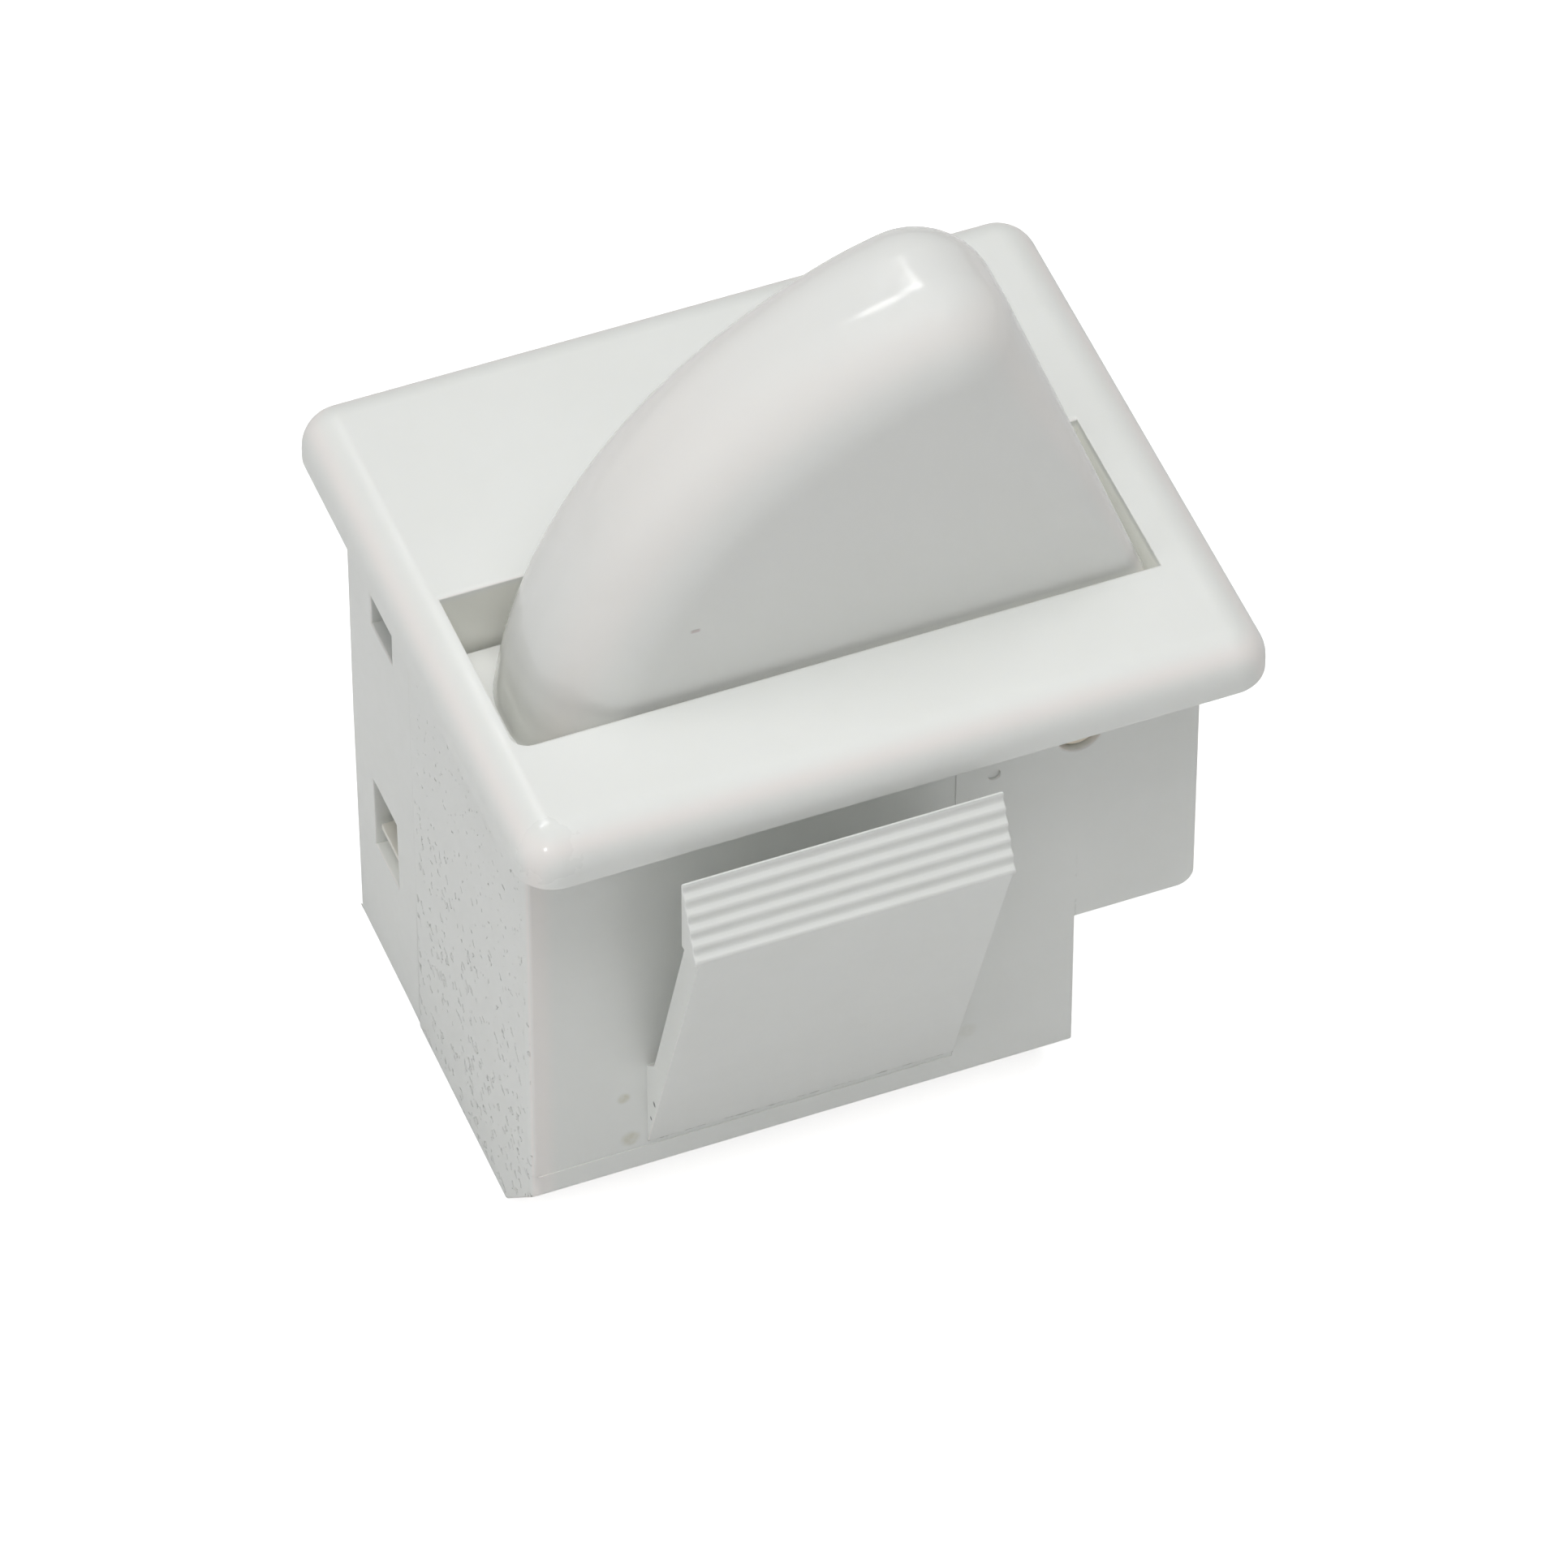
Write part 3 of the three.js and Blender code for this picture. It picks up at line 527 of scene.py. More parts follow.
def mould_seam(t):
    """Upright line on the left wall where the mould's two parts meet."""
    left_wall = side_wall(t)
    off = t.from_middle("Y", DRAFT["y"])
    low = t.ramp(t.axis("Z"), -23.0, -18.0, 1.0, 0.12)
    return t.times(t.times(left_wall, low), t.ramp(off, 0.03, 0.09, 1.0, 0.0))


def front_seam(t):
    """Faint broken line on the front wall, above the step's inner corner."""
    on_front = front_wall(t)
    above = t.ramp(t.axis("Z"), -DEPTH["shallow"], -DEPTH["shallow"] + 6.0, 1.0, 0.0)
    line = t.ramp(t.from_middle("X", STEP_X), 0.02, 0.07, 1.0, 0.0)
    broken = t.ramp(t.noise(3.0, 2.0), 0.45, 0.6)
    return t.times(t.times(on_front, above), t.times(line, broken))


def painted_corner_glow(t):
    """Painted warm glow on the front wall along the case's front left corner."""
    under = t.below(t.axis("Z"), UNDER_FLANGE)
    on_front = front_wall(t)
    band = t.ramp(t.axis("X"), CASE["left"] + 0.6, CASE["left"] + 1.5, 1.0, 0.0)
    return t.times(under, on_front, band)


def root_line(t):
    """Broken dark line under the front wing's root, with specks of flash."""
    on_front = front_wall(t)
    off = t.from_middle("Z", WING_ROOT["outer_z"] - 0.04)
    low, high = layout_box("front_snap_wing")
    middle, half = (low.x + high.x) / 2, (high.x - low.x) / 2
    along = t.below(t.from_middle("X", middle), half)
    width = t.ramp(t.noise(1.8, 3.0), 0.45, 0.72, 0.03, 0.11)
    line = t.below(off, width)
    return t.times(on_front, along, line)


def inside_well(t):
    """1 on the walls of the arm's opening and of its well, down to the step, where the painted tint and glow
    go.
    """
    across = t.from_middle("X", (APERTURE["left"] + APERTURE["right"]) / 2)
    along = t.from_middle("Y", (CASE["front"] + WALL + APERTURE["back"]) / 2)
    in_x = t.below(across, (APERTURE["right"] - APERTURE["left"]) / 2 + 0.05)
    in_y = t.below(along, (APERTURE["back"] - CASE["front"] - WALL) / 2 + 0.05)
    under_lip = t.ramp(t.axis("Z"), FLANGE["thickness"] - 0.6, FLANGE["thickness"] - 0.1, 1.0, 0.0)
    above_step = t.math("GREATER_THAN", t.axis("Z"), -DEPTH["shallow"])
    return t.times(t.times(in_x, in_y), t.times(under_lip, above_step))


def stains(t):
    """Spots on the front wall: two beside the wing's root and a faint one to its right."""
    marks = t.spot((-12.14, CASE["front"], -19.67), 0.42)
    marks = t.most(marks, t.spot((-11.85, CASE["front"], -22.54), 0.6))
    return t.most(marks, t.times(t.spot((4.75, CASE["front"], -21.9), 0.6), 0.3))


def crumbs(t):
    """Two dark specks of flash in the corner beside the wing's root."""
    return t.most(t.spot((-11, -12.35, -19.58), 0.2), t.spot((-11, -11.91, -21.0), 0.14))


def case_plastic():
    """Case: pits and seams, stains and specks by the wing's root, a painted warm glow along the front left
    corner, and a painted tint and glow in the well for light through thin walls.
    """
    t, base, relief = moulded("case_plastic", CASE_WHITE, CASE_SHADE, 0.33, CASE_GLOW_SCALE)
    rubbed = t.times(t.spot(RUBBED_CORNER, 2.0), 0.16)
    t.set(Roughness=t.math("SUBTRACT", t.surface.inputs["Roughness"].links[0].from_socket, rubbed))
    pit, seam, line = wall_pits(t), mould_seam(t), root_line(t)
    marks, specks, well = stains(t), crumbs(t), inside_well(t)
    # Painted warm glow along the front left corner.
    base = t.blend(painted_corner_glow(t), base, warmer(CASE_WHITE, CASE_GLOW_SCALE))
    # Painted warm tint on the well's walls.
    base = t.blend(well, base, rgba(*PAINTED_WELL_TINT))
    patchy = t.times(t.noise(3.0, 2.0), 0.9)
    base = t.blend(t.times(marks, patchy), base, rgba(*STAIN))
    base = t.blend(t.times(pit, PIT_TINT), base, rgba(*DUST))
    base = t.blend(t.times(line, ROOT_LINE_TINT), base, rgba(*DUST))
    base = t.blend(t.times(t.most(seam, front_seam(t)), SEAM_TINT), base, rgba(*DUST))
    base = t.blend(specks, base, rgba(*CRUMB))
    # Painted glow: the well's walls give off light, stronger towards the right, though they are no lamp.
    through = t.ramp(t.axis("X"), APERTURE["left"], APERTURE["right"], *PAINTED_WELL_GLOW)
    glow = t.times(well, through)
    t.set(Base_Color=base, Emission_Color=rgba(*PAINTED_WELL_TINT), Emission_Strength=glow)
    dents = t.math("ADD", t.times(pit, PIT_DEPTH), t.times(seam, SEAM_DEPTH))
    t.bump(t.math("SUBTRACT", relief, t.math("ADD", dents, t.times(line, ROOT_LINE_DEPTH))))
    return t.material


SCUFF = {"x": -7.34, "z": 6.48, "colour": (0.56, 0.44, 0.44), "depth": 0.03}


def rocker_plastic():
    """Rocker: smoother and glossier than the case, with one scuff on its front."""
    white, shade = (0.848, 0.855, 0.836), (0.836, 0.843, 0.822)
    # The last colour scale gives the rocker's painted warm glow on its rounded edges.
    t, base, relief = moulded("rocker_plastic", white, shade, 0.15, (1.02, 0.995, 0.99), 0.0003)
    wide = t.ramp(t.from_middle("X", SCUFF["x"]), 0.12, 0.3, 1.0, 0.0)
    high = t.ramp(t.from_middle("Z", SCUFF["z"]), 0.03, 0.14, 1.0, 0.0)
    on_face = t.below(t.axis("Y"), ROCKER["front"] + 0.1)
    scuff = t.times(wide, high, on_face)
    t.set(Base_Color=t.blend(t.times(scuff, 0.6), base, rgba(*SCUFF["colour"])))
    t.bump(t.math("SUBTRACT", relief, t.times(scuff, SCUFF["depth"])))
    return t.material


def undyed_plastic(name, colour, shade):
    """Uncoloured moulded plastic: a little warmer than the case and less glossy."""
    t, base, relief = moulded(name, colour, shade, 0.42, (1.0, 1.0, 1.0))
    t.bump(relief)
    t.set(Base_Color=base)
    return t.material


def metal(name, colour, tarnish, roughness, brushed):
    """Stamped or drawn metal: fine lines along one direction and patchy tarnish."""
    t = Tree(name)
    lines = t.noise(1.0, 3.0, place=t.stretched(brushed))
    patches = t.ramp(t.noise(0.8, 4.0), 0.45, 0.75)
    t.set(
        Base_Color=t.blend(t.times(patches, 0.6), rgba(*colour), rgba(*tarnish)),
        Metallic=1.0,
        Roughness=t.math("ADD", t.times(lines, 0.16), roughness),
    )
    t.bump(t.times(lines, 0.0025))
    return t.material


MATERIALS = {
    "case_plastic": case_plastic(),
    "rocker_plastic": rocker_plastic(),
    "natural_plastic": undyed_plastic("natural_plastic", (0.82, 0.80, 0.73), (0.79, 0.765, 0.69)),
    "pin_plastic": undyed_plastic("pin_plastic", (0.88, 0.80, 0.66), (0.84, 0.75, 0.6)),
    "brass": metal("brass", (0.80, 0.58, 0.25), (0.58, 0.38, 0.16), 0.22, (6, 6, 0.6)),
    "contact_silver": metal("contact_silver", (0.86, 0.86, 0.84), (0.62, 0.60, 0.55), 0.24, (5, 5, 5)),
    "tinned_brass": metal("tinned_brass", (0.74, 0.73, 0.70), (0.55, 0.53, 0.48), 0.34, (6, 6, 0.6)),
    "steel": metal("steel", (0.62, 0.63, 0.64), (0.42, 0.42, 0.43), 0.2, (8, 0.5, 8)),
}


# --- housing
def chamfer_wedge(wall):
    """(y, z) triangle off the case's front lower edge, moved inwards by a wall."""
    slope = Vector((CHAMFER["y"] - CASE["front"], -DEPTH["deep"] - CHAMFER["z"]))
    inwards = Vector((-slope.y, slope.x)).normalized() * wall
    start = Vector((CASE["front"], CHAMFER["z"])) + inwards
    top, bottom = start - slope, start + 2 * slope
    return [tuple(top), (top.x, bottom.y), tuple(bottom)]


def case_outline():
    """(x, z) outline of the L-shaped case, with its lower right corner rounded."""
    r = CASE["corner_r"]
    corner = arc(CASE["right"] - r, -DEPTH["shallow"] + r, r, -90, 0, 12)
    return [
        (CASE["left"], 1), (CASE["left"], -DEPTH["deep"]), (STEP_X, -DEPTH["deep"]),
        (STEP_X, -DEPTH["shallow"]), *corner, (CASE["right"], 1),
    ]


def chamber_outline(right, floor_z):
    """(x, z) outline of a chamber inside the case's walls."""
    left, step, shelf = CASE["left"] + WALL, STEP_X - WALL, -DEPTH["shallow"] + WALL
    return [(left, 0), (left, floor_z), (step, floor_z), (step, shelf), (right, shelf), (right, 0)]


def window_block(window):
    """Through-opening in the left wall, or in the wall under the step."""
    if window["side"] == "left":
        x0, x1 = CASE["left"] - PAST, CASE["left"] + WALL + 0.5
    else:
        x0, x1 = STEP_X - WALL - 0.5, STEP_X + PAST
    return block(x0, x1, window["front"], window["back"], window["bottom"], window["top"])


def aperture_outline():
    """(x, y) outline of the arm's opening, with its front left corner rounded."""
    r = APERTURE["corner_r"]
    corner = arc(APERTURE["left"] + r, APERTURE["front"] + r, r, 180, 270, 8)
    return [
        *corner, (APERTURE["right"], APERTURE["front"]),
        (APERTURE["right"], APERTURE["back"]), (APERTURE["left"], APERTURE["back"]),
    ]


def opening_edge(x, y):
    """Edge widths round the arm's opening; its left side is close to the flange's rim."""
    if near(y, APERTURE["back"]):
        return OPENING_EDGE["back"]
    if near(y, APERTURE["front"]):
        return OPENING_EDGE["front"]
    return OPENING_EDGE["right" if near(x, APERTURE["right"]) else "left"]


def housing_edge(middle, along, convex):
    """Edge widths of the housing: soft outer corners, finer ones at openings."""
    x, y, z = middle
    if not convex:
        return 0
    if near(z, FLANGE["thickness"]):
        return opening_edge(x, y)
    on_left = x < CASE["left"] + 0.12
    on_front = near(y, CASE["front"], CASE["front"] + WITNESS["depth"])
    on_back = near(y, CASE["back"])
    on_bottom = near(z, -DEPTH["deep"]) or near(z, -DEPTH["shallow"])
    upright = abs(along.z) > 0.9
    if on_front and (near(z, WITNESS["bottom"]) or (upright and near(x, WITNESS["right"]))):
        return CASE_EDGE["witness"]
    if upright and z < 0 and (on_front or on_back):
        if on_left:
            return CASE_EDGE["upright"]
        at_corner = near(x, STEP_X) or x > CASE["right"] - CASE["corner_r"]
        return CASE_EDGE["plain"] if at_corner else 0
    if math.hypot(x - EJECTOR["x"], z - EJECTOR["z"]) < EJECTOR["r"] + 0.1:
        return CASE_EDGE["ejector"]
    if on_left and (near(y, DRAFT["y"]) or near(z, DRAFT["z"])):
        return 0
    if near(x, STEP_X) and near(z, -DEPTH["deep"]):
        return CASE_EDGE["step"]
    outside = on_left or on_front or on_back or on_bottom or near(x, STEP_X, CASE["right"])
    return CASE_EDGE["plain"] if outside else 0


def flange_slab():
    length, width = HOUSING_HIGH.x - HOUSING_LOW.x, HOUSING_HIGH.y - HOUSING_LOW.y
    rim = rounded_rectangle(length, width, FLANGE["corner_r"], 14)
    lip, edge = [FLANGE["lip_r"]] * len(rim), [FLANGE["edge_r"]] * len(rim)
    return rounded_slab(rim, 0, FLANGE["thickness"], lip, edge, 12)


def witness_pocket():
    """Very shallow recess that covers the front wall's left and upper part."""
    return block(
        CASE["left"] - PAST, WITNESS["right"], CASE["front"] - PAST, CASE["front"] + WITNESS["depth"],
        WITNESS["bottom"], 2,
    )


def arm_well():
    """Room for the arm, which keeps the wall's thickness along the chamfer."""
    outline = chamber_outline(APERTURE["right"], -DEPTH["deep"] + WALL)
    return cut(
        prism("Y", outline, CASE["front"] + WALL, APERTURE["back"]),
        prism("X", chamfer_wedge(CHAMFER["wall"]), -FAR, FAR),
    )


def contact_chamber():
    """Rear room for the contacts, open below."""
    outline = chamber_outline(CASE["right"] - WALL, -DEPTH["deep"] - PAST)
    return prism("Y", outline, PARTITION_BACK, CASE["back"] - WALL)


def finger_slot():
    """Gap in the partition for the slider's finger, which reaches the rocker's cam."""
    return block(
        FINGER_SLOT["left"], STEP_X - WALL,
        APERTURE["back"] - FINGER_SLOT["overlap"], PARTITION_BACK + FINGER_SLOT["overlap"],
        -DEPTH["deep"] - PAST, FINGER_SLOT["top"],
    )


def wall_draft():
    """Wedge off the rear part of the left wall's lower half."""
    left, top, bottom = CASE["left"], DRAFT["z"], -DEPTH["deep"] - PAST
    outline = [(left - PAST, top), (left - PAST, bottom), (left + DRAFT["depth"], bottom), (left, top)]
    return prism("Y", outline, DRAFT["y"], CASE["back"] + PAST)


def ejector_dimple():
    outline = circle(EJECTOR["x"], EJECTOR["z"], EJECTOR["r"], 32)
    return prism("Y", outline, CASE["front"] - PAST, CASE["front"] + EJECTOR["depth"])


def spring_stop():
    """Post in the well that the return spring's fixed leg rests on."""
    return block(
        SPRING_STOP["left"], CASE["right"] - 0.5, CASE["front"] + 0.5, SPRING_STOP["back"],
        -DEPTH["shallow"] + 0.5, SPRING_STOP["top"],
    )


def housing():
    body = prism("Y", case_outline(), CASE["front"], CASE["back"])
    cut(body, prism("X", chamfer_wedge(0), -FAR, FAR), witness_pocket())
    join(body, flange_slab())
    cut(
        body,
        arm_well(),
        prism("Z", aperture_outline(), -0.5, 3),
        contact_chamber(),
        finger_slot(),
        prism("Y", circle(PIVOT.x, PIVOT.z, PIN_HOLE_R), CASE["front"] - PAST, PARTITION_BACK + 0.5),
        *[window_block(w) for w in WINDOWS.values()],
        wall_draft(),
        ejector_dimple(),
    )
    join(body, spring_stop())
    round_edges(body, housing_edge)
    place_piece(body, "housing_shell", "case_plastic", "bezel_housing", "case")


# --- snap wings
def wing_outline():
    """(y, z) outline of the front wing, from its root in the case's wall to its serrated head."""
    bury = CASE["front"] + 0.4
    points = [(bury, WING_ROOT["outer_z"]), (CASE["front"], WING_ROOT["outer_z"])]
    steps = RIDGES["count"] - 1
    for i in range(RIDGES["count"]):
        share = i / steps
        y = WING_HEAD["y"] + (WING_HEAD["top_y"] - WING_HEAD["y"]) * share
        z = WING_HEAD["z"] + (WING_HEAD["top_z"] - WING_HEAD["z"]) * share
        points.append((y, z))
        if i < steps:
            points.append((y + RIDGES["depth"], z + RIDGES["rise"]))
    return points + [
        (WING_HEAD["inner_y"], WING_HEAD["top_z"]),
        (WING_HEAD["inner_y"], WING_HEAD["inner_z"]),
        (WING_ROOT["ledge_y"], WING_ROOT["ledge_z"]),
        (CASE["front"], WING_ROOT["inner_z"]),
        (bury, WING_ROOT["inner_z"]),
    ]


def head_outline(points):
    """The part of the wing's outline above the lowest ridge."""
    head = [p for p in points if p[1] > WING_HEAD["inner_z"] - 0.01 and p[0] < CASE["front"] - 1]
    return [(WING_HEAD["y"] + 0.13, WING_HEAD["z"] - 0.36)] + head


def wing_edge(middle, along, convex):
    if middle.y > CASE["front"] - 0.05:
        return 0
    if abs(along.x) > 0.9:
        return 0.15 if middle.z > WING_HEAD["z"] - 0.2 and middle.y < WING_HEAD["top_y"] + 0.5 else 0.12
    return 0.07 if convex else 0


def wing(name, node, body, rear):
    low, high = layout_box(node)
    points = wing_outline()
    plate = prism("X", points, low.x, high.x)
    head = prism("X", head_outline(points), low.x - RIDGES["proud"], high.x + RIDGES["proud"])
    join(plate, head)
    round_edges(plate, wing_edge)
    mirror = Matrix.Translation((0, 2 * CASE_MID_Y, 0)) @ Matrix.Scale(-1, 4, (0, 1, 0))
    start, end = [Vector((0, *WING_BEND[key])) for key in ("start", "end")]
    if rear:
        moved(plate, mirror)
        plate.data.flip_normals()
        start, end = mirror @ start, mirror @ end
    place_piece(plate, name, "case_plastic", node, ("case", body, start, end))


# --- rocker
def from_side(across, along):
    """A point given along and across the rocker's straight side, from the pivot."""
    tilt = math.radians(SIDE["tilt"])
    return (
        PIVOT.x + across * math.cos(tilt) - along * math.sin(tilt),
        PIVOT.z + across * math.sin(tilt) + along * math.cos(tilt),
    )


def along_at_x(across, x):
    """How far along the straight side a line parallel to it reaches an x."""
    tilt = math.radians(SIDE["tilt"])
    return (PIVOT.x + across * math.cos(tilt) - x) / math.sin(tilt)


def smooth(t):
    """Eases from 0 to 1 as t goes from 0 to 1."""
    t = min(1.0, max(0.0, t))
    return t * t * (3 - 2 * t)


def fin_outline():
    """(x, z) outline of the fin, counter-clockwise, and the rim's radius at each point."""
    c, peak, least = ROCKER["corner_r"], ROCKER["corner_r"] - 0.2, ROCKER["side_fillet"]
    reach = math.sqrt((ROCKER["r"] - c) ** 2 - (SIDE["offset"] - c) ** 2)
    cx, cz = from_side(SIDE["offset"] - c, reach)
    tip = math.degrees(math.atan2(cz - PIVOT.z, cx - PIVOT.x))
    bottom = along_at_x(SIDE["offset"], SIDE["clip_x"])
    points = [(SIDE["clip_x"], z) for z in SIDE_LEVELS]
    radii = [SIDE["foot_r"]] * len(points)
    steps = 30
    for i in range(steps):
        share = i / steps
        points.append(from_side(SIDE["offset"], bottom + (reach - bottom) * share))
        foot = smooth(1 - share / SIDE["foot_share"])
        head = smooth((share - SIDE["head_share"]) / (1 - SIDE["head_share"]))
        radii.append(least + (SIDE["foot_r"] - least) * foot + (peak - least) * head)
    corner = arc(cx, cz, c, SIDE["tilt"], tip, 24)
    rim = arc(PIVOT.x, PIVOT.z, ROCKER["r"], tip, RIM_END_DEG, 64)[1:]
    points += corner + rim
    radii += [peak] * len(corner)
    radii += [peak + (ROCKER["fillet"] - peak) * smooth(i / 12) for i in range(len(rim))]
    radii[0] = radii[-1] = 0
    return points, radii


def skirt_outline():
    """(x, z) outline of the skirt: a sector under the fin, down to the hub."""
    top = 180 - math.degrees(math.asin((SKIRT["top"] - PIVOT.z) / SKIRT["r"]))
    return [
        (SIDE["clip_x"], PIVOT.z), (SIDE["clip_x"], SKIRT["top"]),
        *arc(PIVOT.x, PIVOT.z, SKIRT["r"], top, SKIRT["bottom_deg"], 4),
        *arc(PIVOT.x, PIVOT.z, HUB["outer_r"], SKIRT["bottom_deg"], SKIRT["end_deg"], 20),
    ]


def hollow_outline():
    """(x, z) outline of the hollow inside the fin and skirt, open below."""
    reach = math.sqrt(SHELL["r"] ** 2 - SHELL["offset"] ** 2)
    tx, tz = from_side(SHELL["offset"], reach)
    tip = math.degrees(math.atan2(tz - PIVOT.z, tx - PIVOT.x))
    inner = arc(PIVOT.x, PIVOT.z, SHELL["r"], tip, 174, 40)
    return [
        from_side(SHELL["offset"], along_at_x(SHELL["offset"], SHELL["right"])),
        *inner, (inner[-1][0], SHELL_BOTTOM), (SHELL["right"], SHELL_BOTTOM),
    ]


def cam_outline():
    """Involute lobe that lowers a flat follower in proportion to the rocker's turn."""
    flank = []
    for i in range(CAM["steps"] + 1):
        turn = math.radians(-CAM["lead"] + (CAM["travel"] + CAM["lead"]) * i / CAM["steps"])
        height = CAM["height"] + CAM["base_r"] * turn
        flank.append((
            PIVOT.x - CAM["base_r"] * math.cos(turn) - height * math.sin(turn),
            PIVOT.z + CAM["base_r"] * math.sin(turn) - height * math.cos(turn),
        ))
    return [(PIVOT.x - 4.5, PIVOT.z + 1), *flank[::-1], (PIVOT.x, PIVOT.z - 2), (PIVOT.x, PIVOT.z + 1)]


def rocker_edge(middle, along, convex):
    if not convex:
        return 0
    if near(middle.z, SKIRT["top"]) and (near(middle.y, ROCKER["front"], ROCKER["back"]) or middle.x < -10):
        return 0.15
    radius = math.hypot(middle.x - PIVOT.x, middle.z - PIVOT.z)
    if radius > SKIRT["r"] - 0.1 or near(middle.y, ROCKER["front"], ROCKER["back"]):
        return 0.12
    return 0


def rocker():
    points, radii = fin_outline()
    fin = rounded_slab(points, -ROCKER["back"], -ROCKER["front"], radii, radii, 14)
    moved(fin, Matrix.Rotation(math.pi / 2, 4, "X"))
    keep_inside(fin, block(-FAR, FAR, -12, 5, SKIRT["top"], 30))
    hub_pad = prism("Y", circle(PIVOT.x, PIVOT.z, SHELL["hub_r"], 64), SHELL["web"], SHELL["back"] + PAST)
    hollow = cut(prism("Y", hollow_outline(), SHELL["front"], SHELL["back"]), hub_pad)
    join(fin, prism("Y", skirt_outline(), ROCKER["front"], ROCKER["back"]))
    cut(fin, hollow)
    hub = prism("Y", circle(PIVOT.x, PIVOT.z, HUB["r"]), ROCKER["front"] + 0.5, ROCKER["back"] - 0.5)
    join(fin, hub, prism("Y", cam_outline(), CAM["front"], CAM["back"]))
    bore = circle(PIVOT.x, PIVOT.z, HUB["bore_r"])
    cut(fin, prism("Y", bore, ROCKER["front"] - PAST, ROCKER["back"] + PAST))
    round_edges(fin, rocker_edge)
    place_piece(fin, "rocker_fin", "rocker_plastic", "rocker_arm", "rocker")


# --- pin and springs
def pivot_pin():
    low, high = layout_box("pivot_pin")
    r, length, bevel = (high.x - low.x) / 2, high.y - low.y, 0.2
    half = [(0, 0), (r - bevel, 0), (r, bevel), (r, length - bevel), (r - bevel, length), (0, length)]
    pin = lathe(half, 56)
    moved(pin, Matrix.Translation((PIVOT.x, high.y, PIVOT.z)) @ Matrix.Rotation(math.pi / 2, 4, "X"))
    place_piece(pin, "pivot_axle", "natural_plastic", "pivot_pin", "case", material="pin_plastic")


def return_spring():
    """Torsion spring: its front leg stays on the case's stop, its back leg rises from the coil's far end."""
    s, leg = RETURN_SPRING, SPRING_LEG
    count = s["turns"] * 44
    total = s["turns"] * 360 + leg["lean"]

    def at(share):
        a = math.radians(total * share)
        y = s["front"] + (s["back"] - s["front"]) * share
        return Vector((PIVOT.x + s["mean_r"] * math.cos(a), y, PIVOT.z + s["mean_r"] * math.sin(a)))

    stop_leg = [Vector((PIVOT.x + s["mean_r"], s["front"], PIVOT.z - drop)) for drop in leg["stop_drops"]]
    coil = [at(i / count) for i in range(count + 1)]
    lean = math.radians(leg["lean"])
    up = Vector((-math.sin(lean), 0, math.cos(lean)))
    lift_leg = [coil[-1] + up * leg["length"] * share for share in leg["shares"]]
    wire = tube(stop_leg + coil + lift_leg, s["wire_r"])
    across = ("case", "rocker", (PIVOT.x, s["front"], PIVOT.z), (PIVOT.x, s["back"], PIVOT.z))
    place_piece(wire, "torsion_spring", "steel", "return_spring", across)


def coil_spring(node, turns, wire_r, name, body):
    """Compression spring with closed end turns, filling the CAD spring's box.

    Without a body it stays in the row's frame, attached to no body.
    """
    low, high = layout_box(node)
    middle = (low + high) / 2
    mean_r = (high.x - low.x) / 2 - wire_r
    bottom, top = low.z + wire_r, high.z - wire_r
    count = turns * 40
    points = []
    for i in range(count + 1):
        share = i / count
        a = share * turns * math.tau
        rise = 0.35 * share + 0.65 * smooth(share)
        x, y = middle.x + mean_r * math.cos(a), middle.y + mean_r * math.sin(a)
        points.append((x, y, bottom + (top - bottom) * rise))
    if body is None:
        body = ("case", "slider", (middle.x, middle.y, low.z), (middle.x, middle.y, high.z))
    place_piece(tube(points, wire_r, 12), name, "steel", node, body)


# --- contacts
def rivet(node, name, body, faces_up):
    """Contact rivet with a domed head, in the box of its CAD node."""
    low, high = layout_box(node)
    middle, height = (low + high) / 2, high.z - low.z
    head_r, head, tail_r, tail = (high.x - low.x) / 2, RIVET["head"], RIVET["tail_r"], RIVET["tail"]
    rise, under_head = head * RIVET["dome"], height - head
    dome = [(head_r * math.cos(a), height - rise + rise * math.sin(a))
            for a in (math.radians(d) for d in (0, 20, 40, 60, 75))]
    solid = lathe([
        (0, 0), (tail_r - RIVET["bevel"], 0), (tail_r, RIVET["bevel"]), (tail_r, tail),
        (RIVET["shank_r"], tail), (RIVET["shank_r"], under_head),
        (head_r - RIVET["rim"], under_head), (head_r, under_head + RIVET["rim"]), *dome, (0, height),
    ])
    if not faces_up:
        moved(solid, Matrix.Translation((0, 0, height)) @ Matrix.Rotation(math.pi, 4, "X"))
    moved(solid, Matrix.Translation((middle.x, middle.y, low.z)))
    place_piece(solid, name, "contact_silver", node, body)


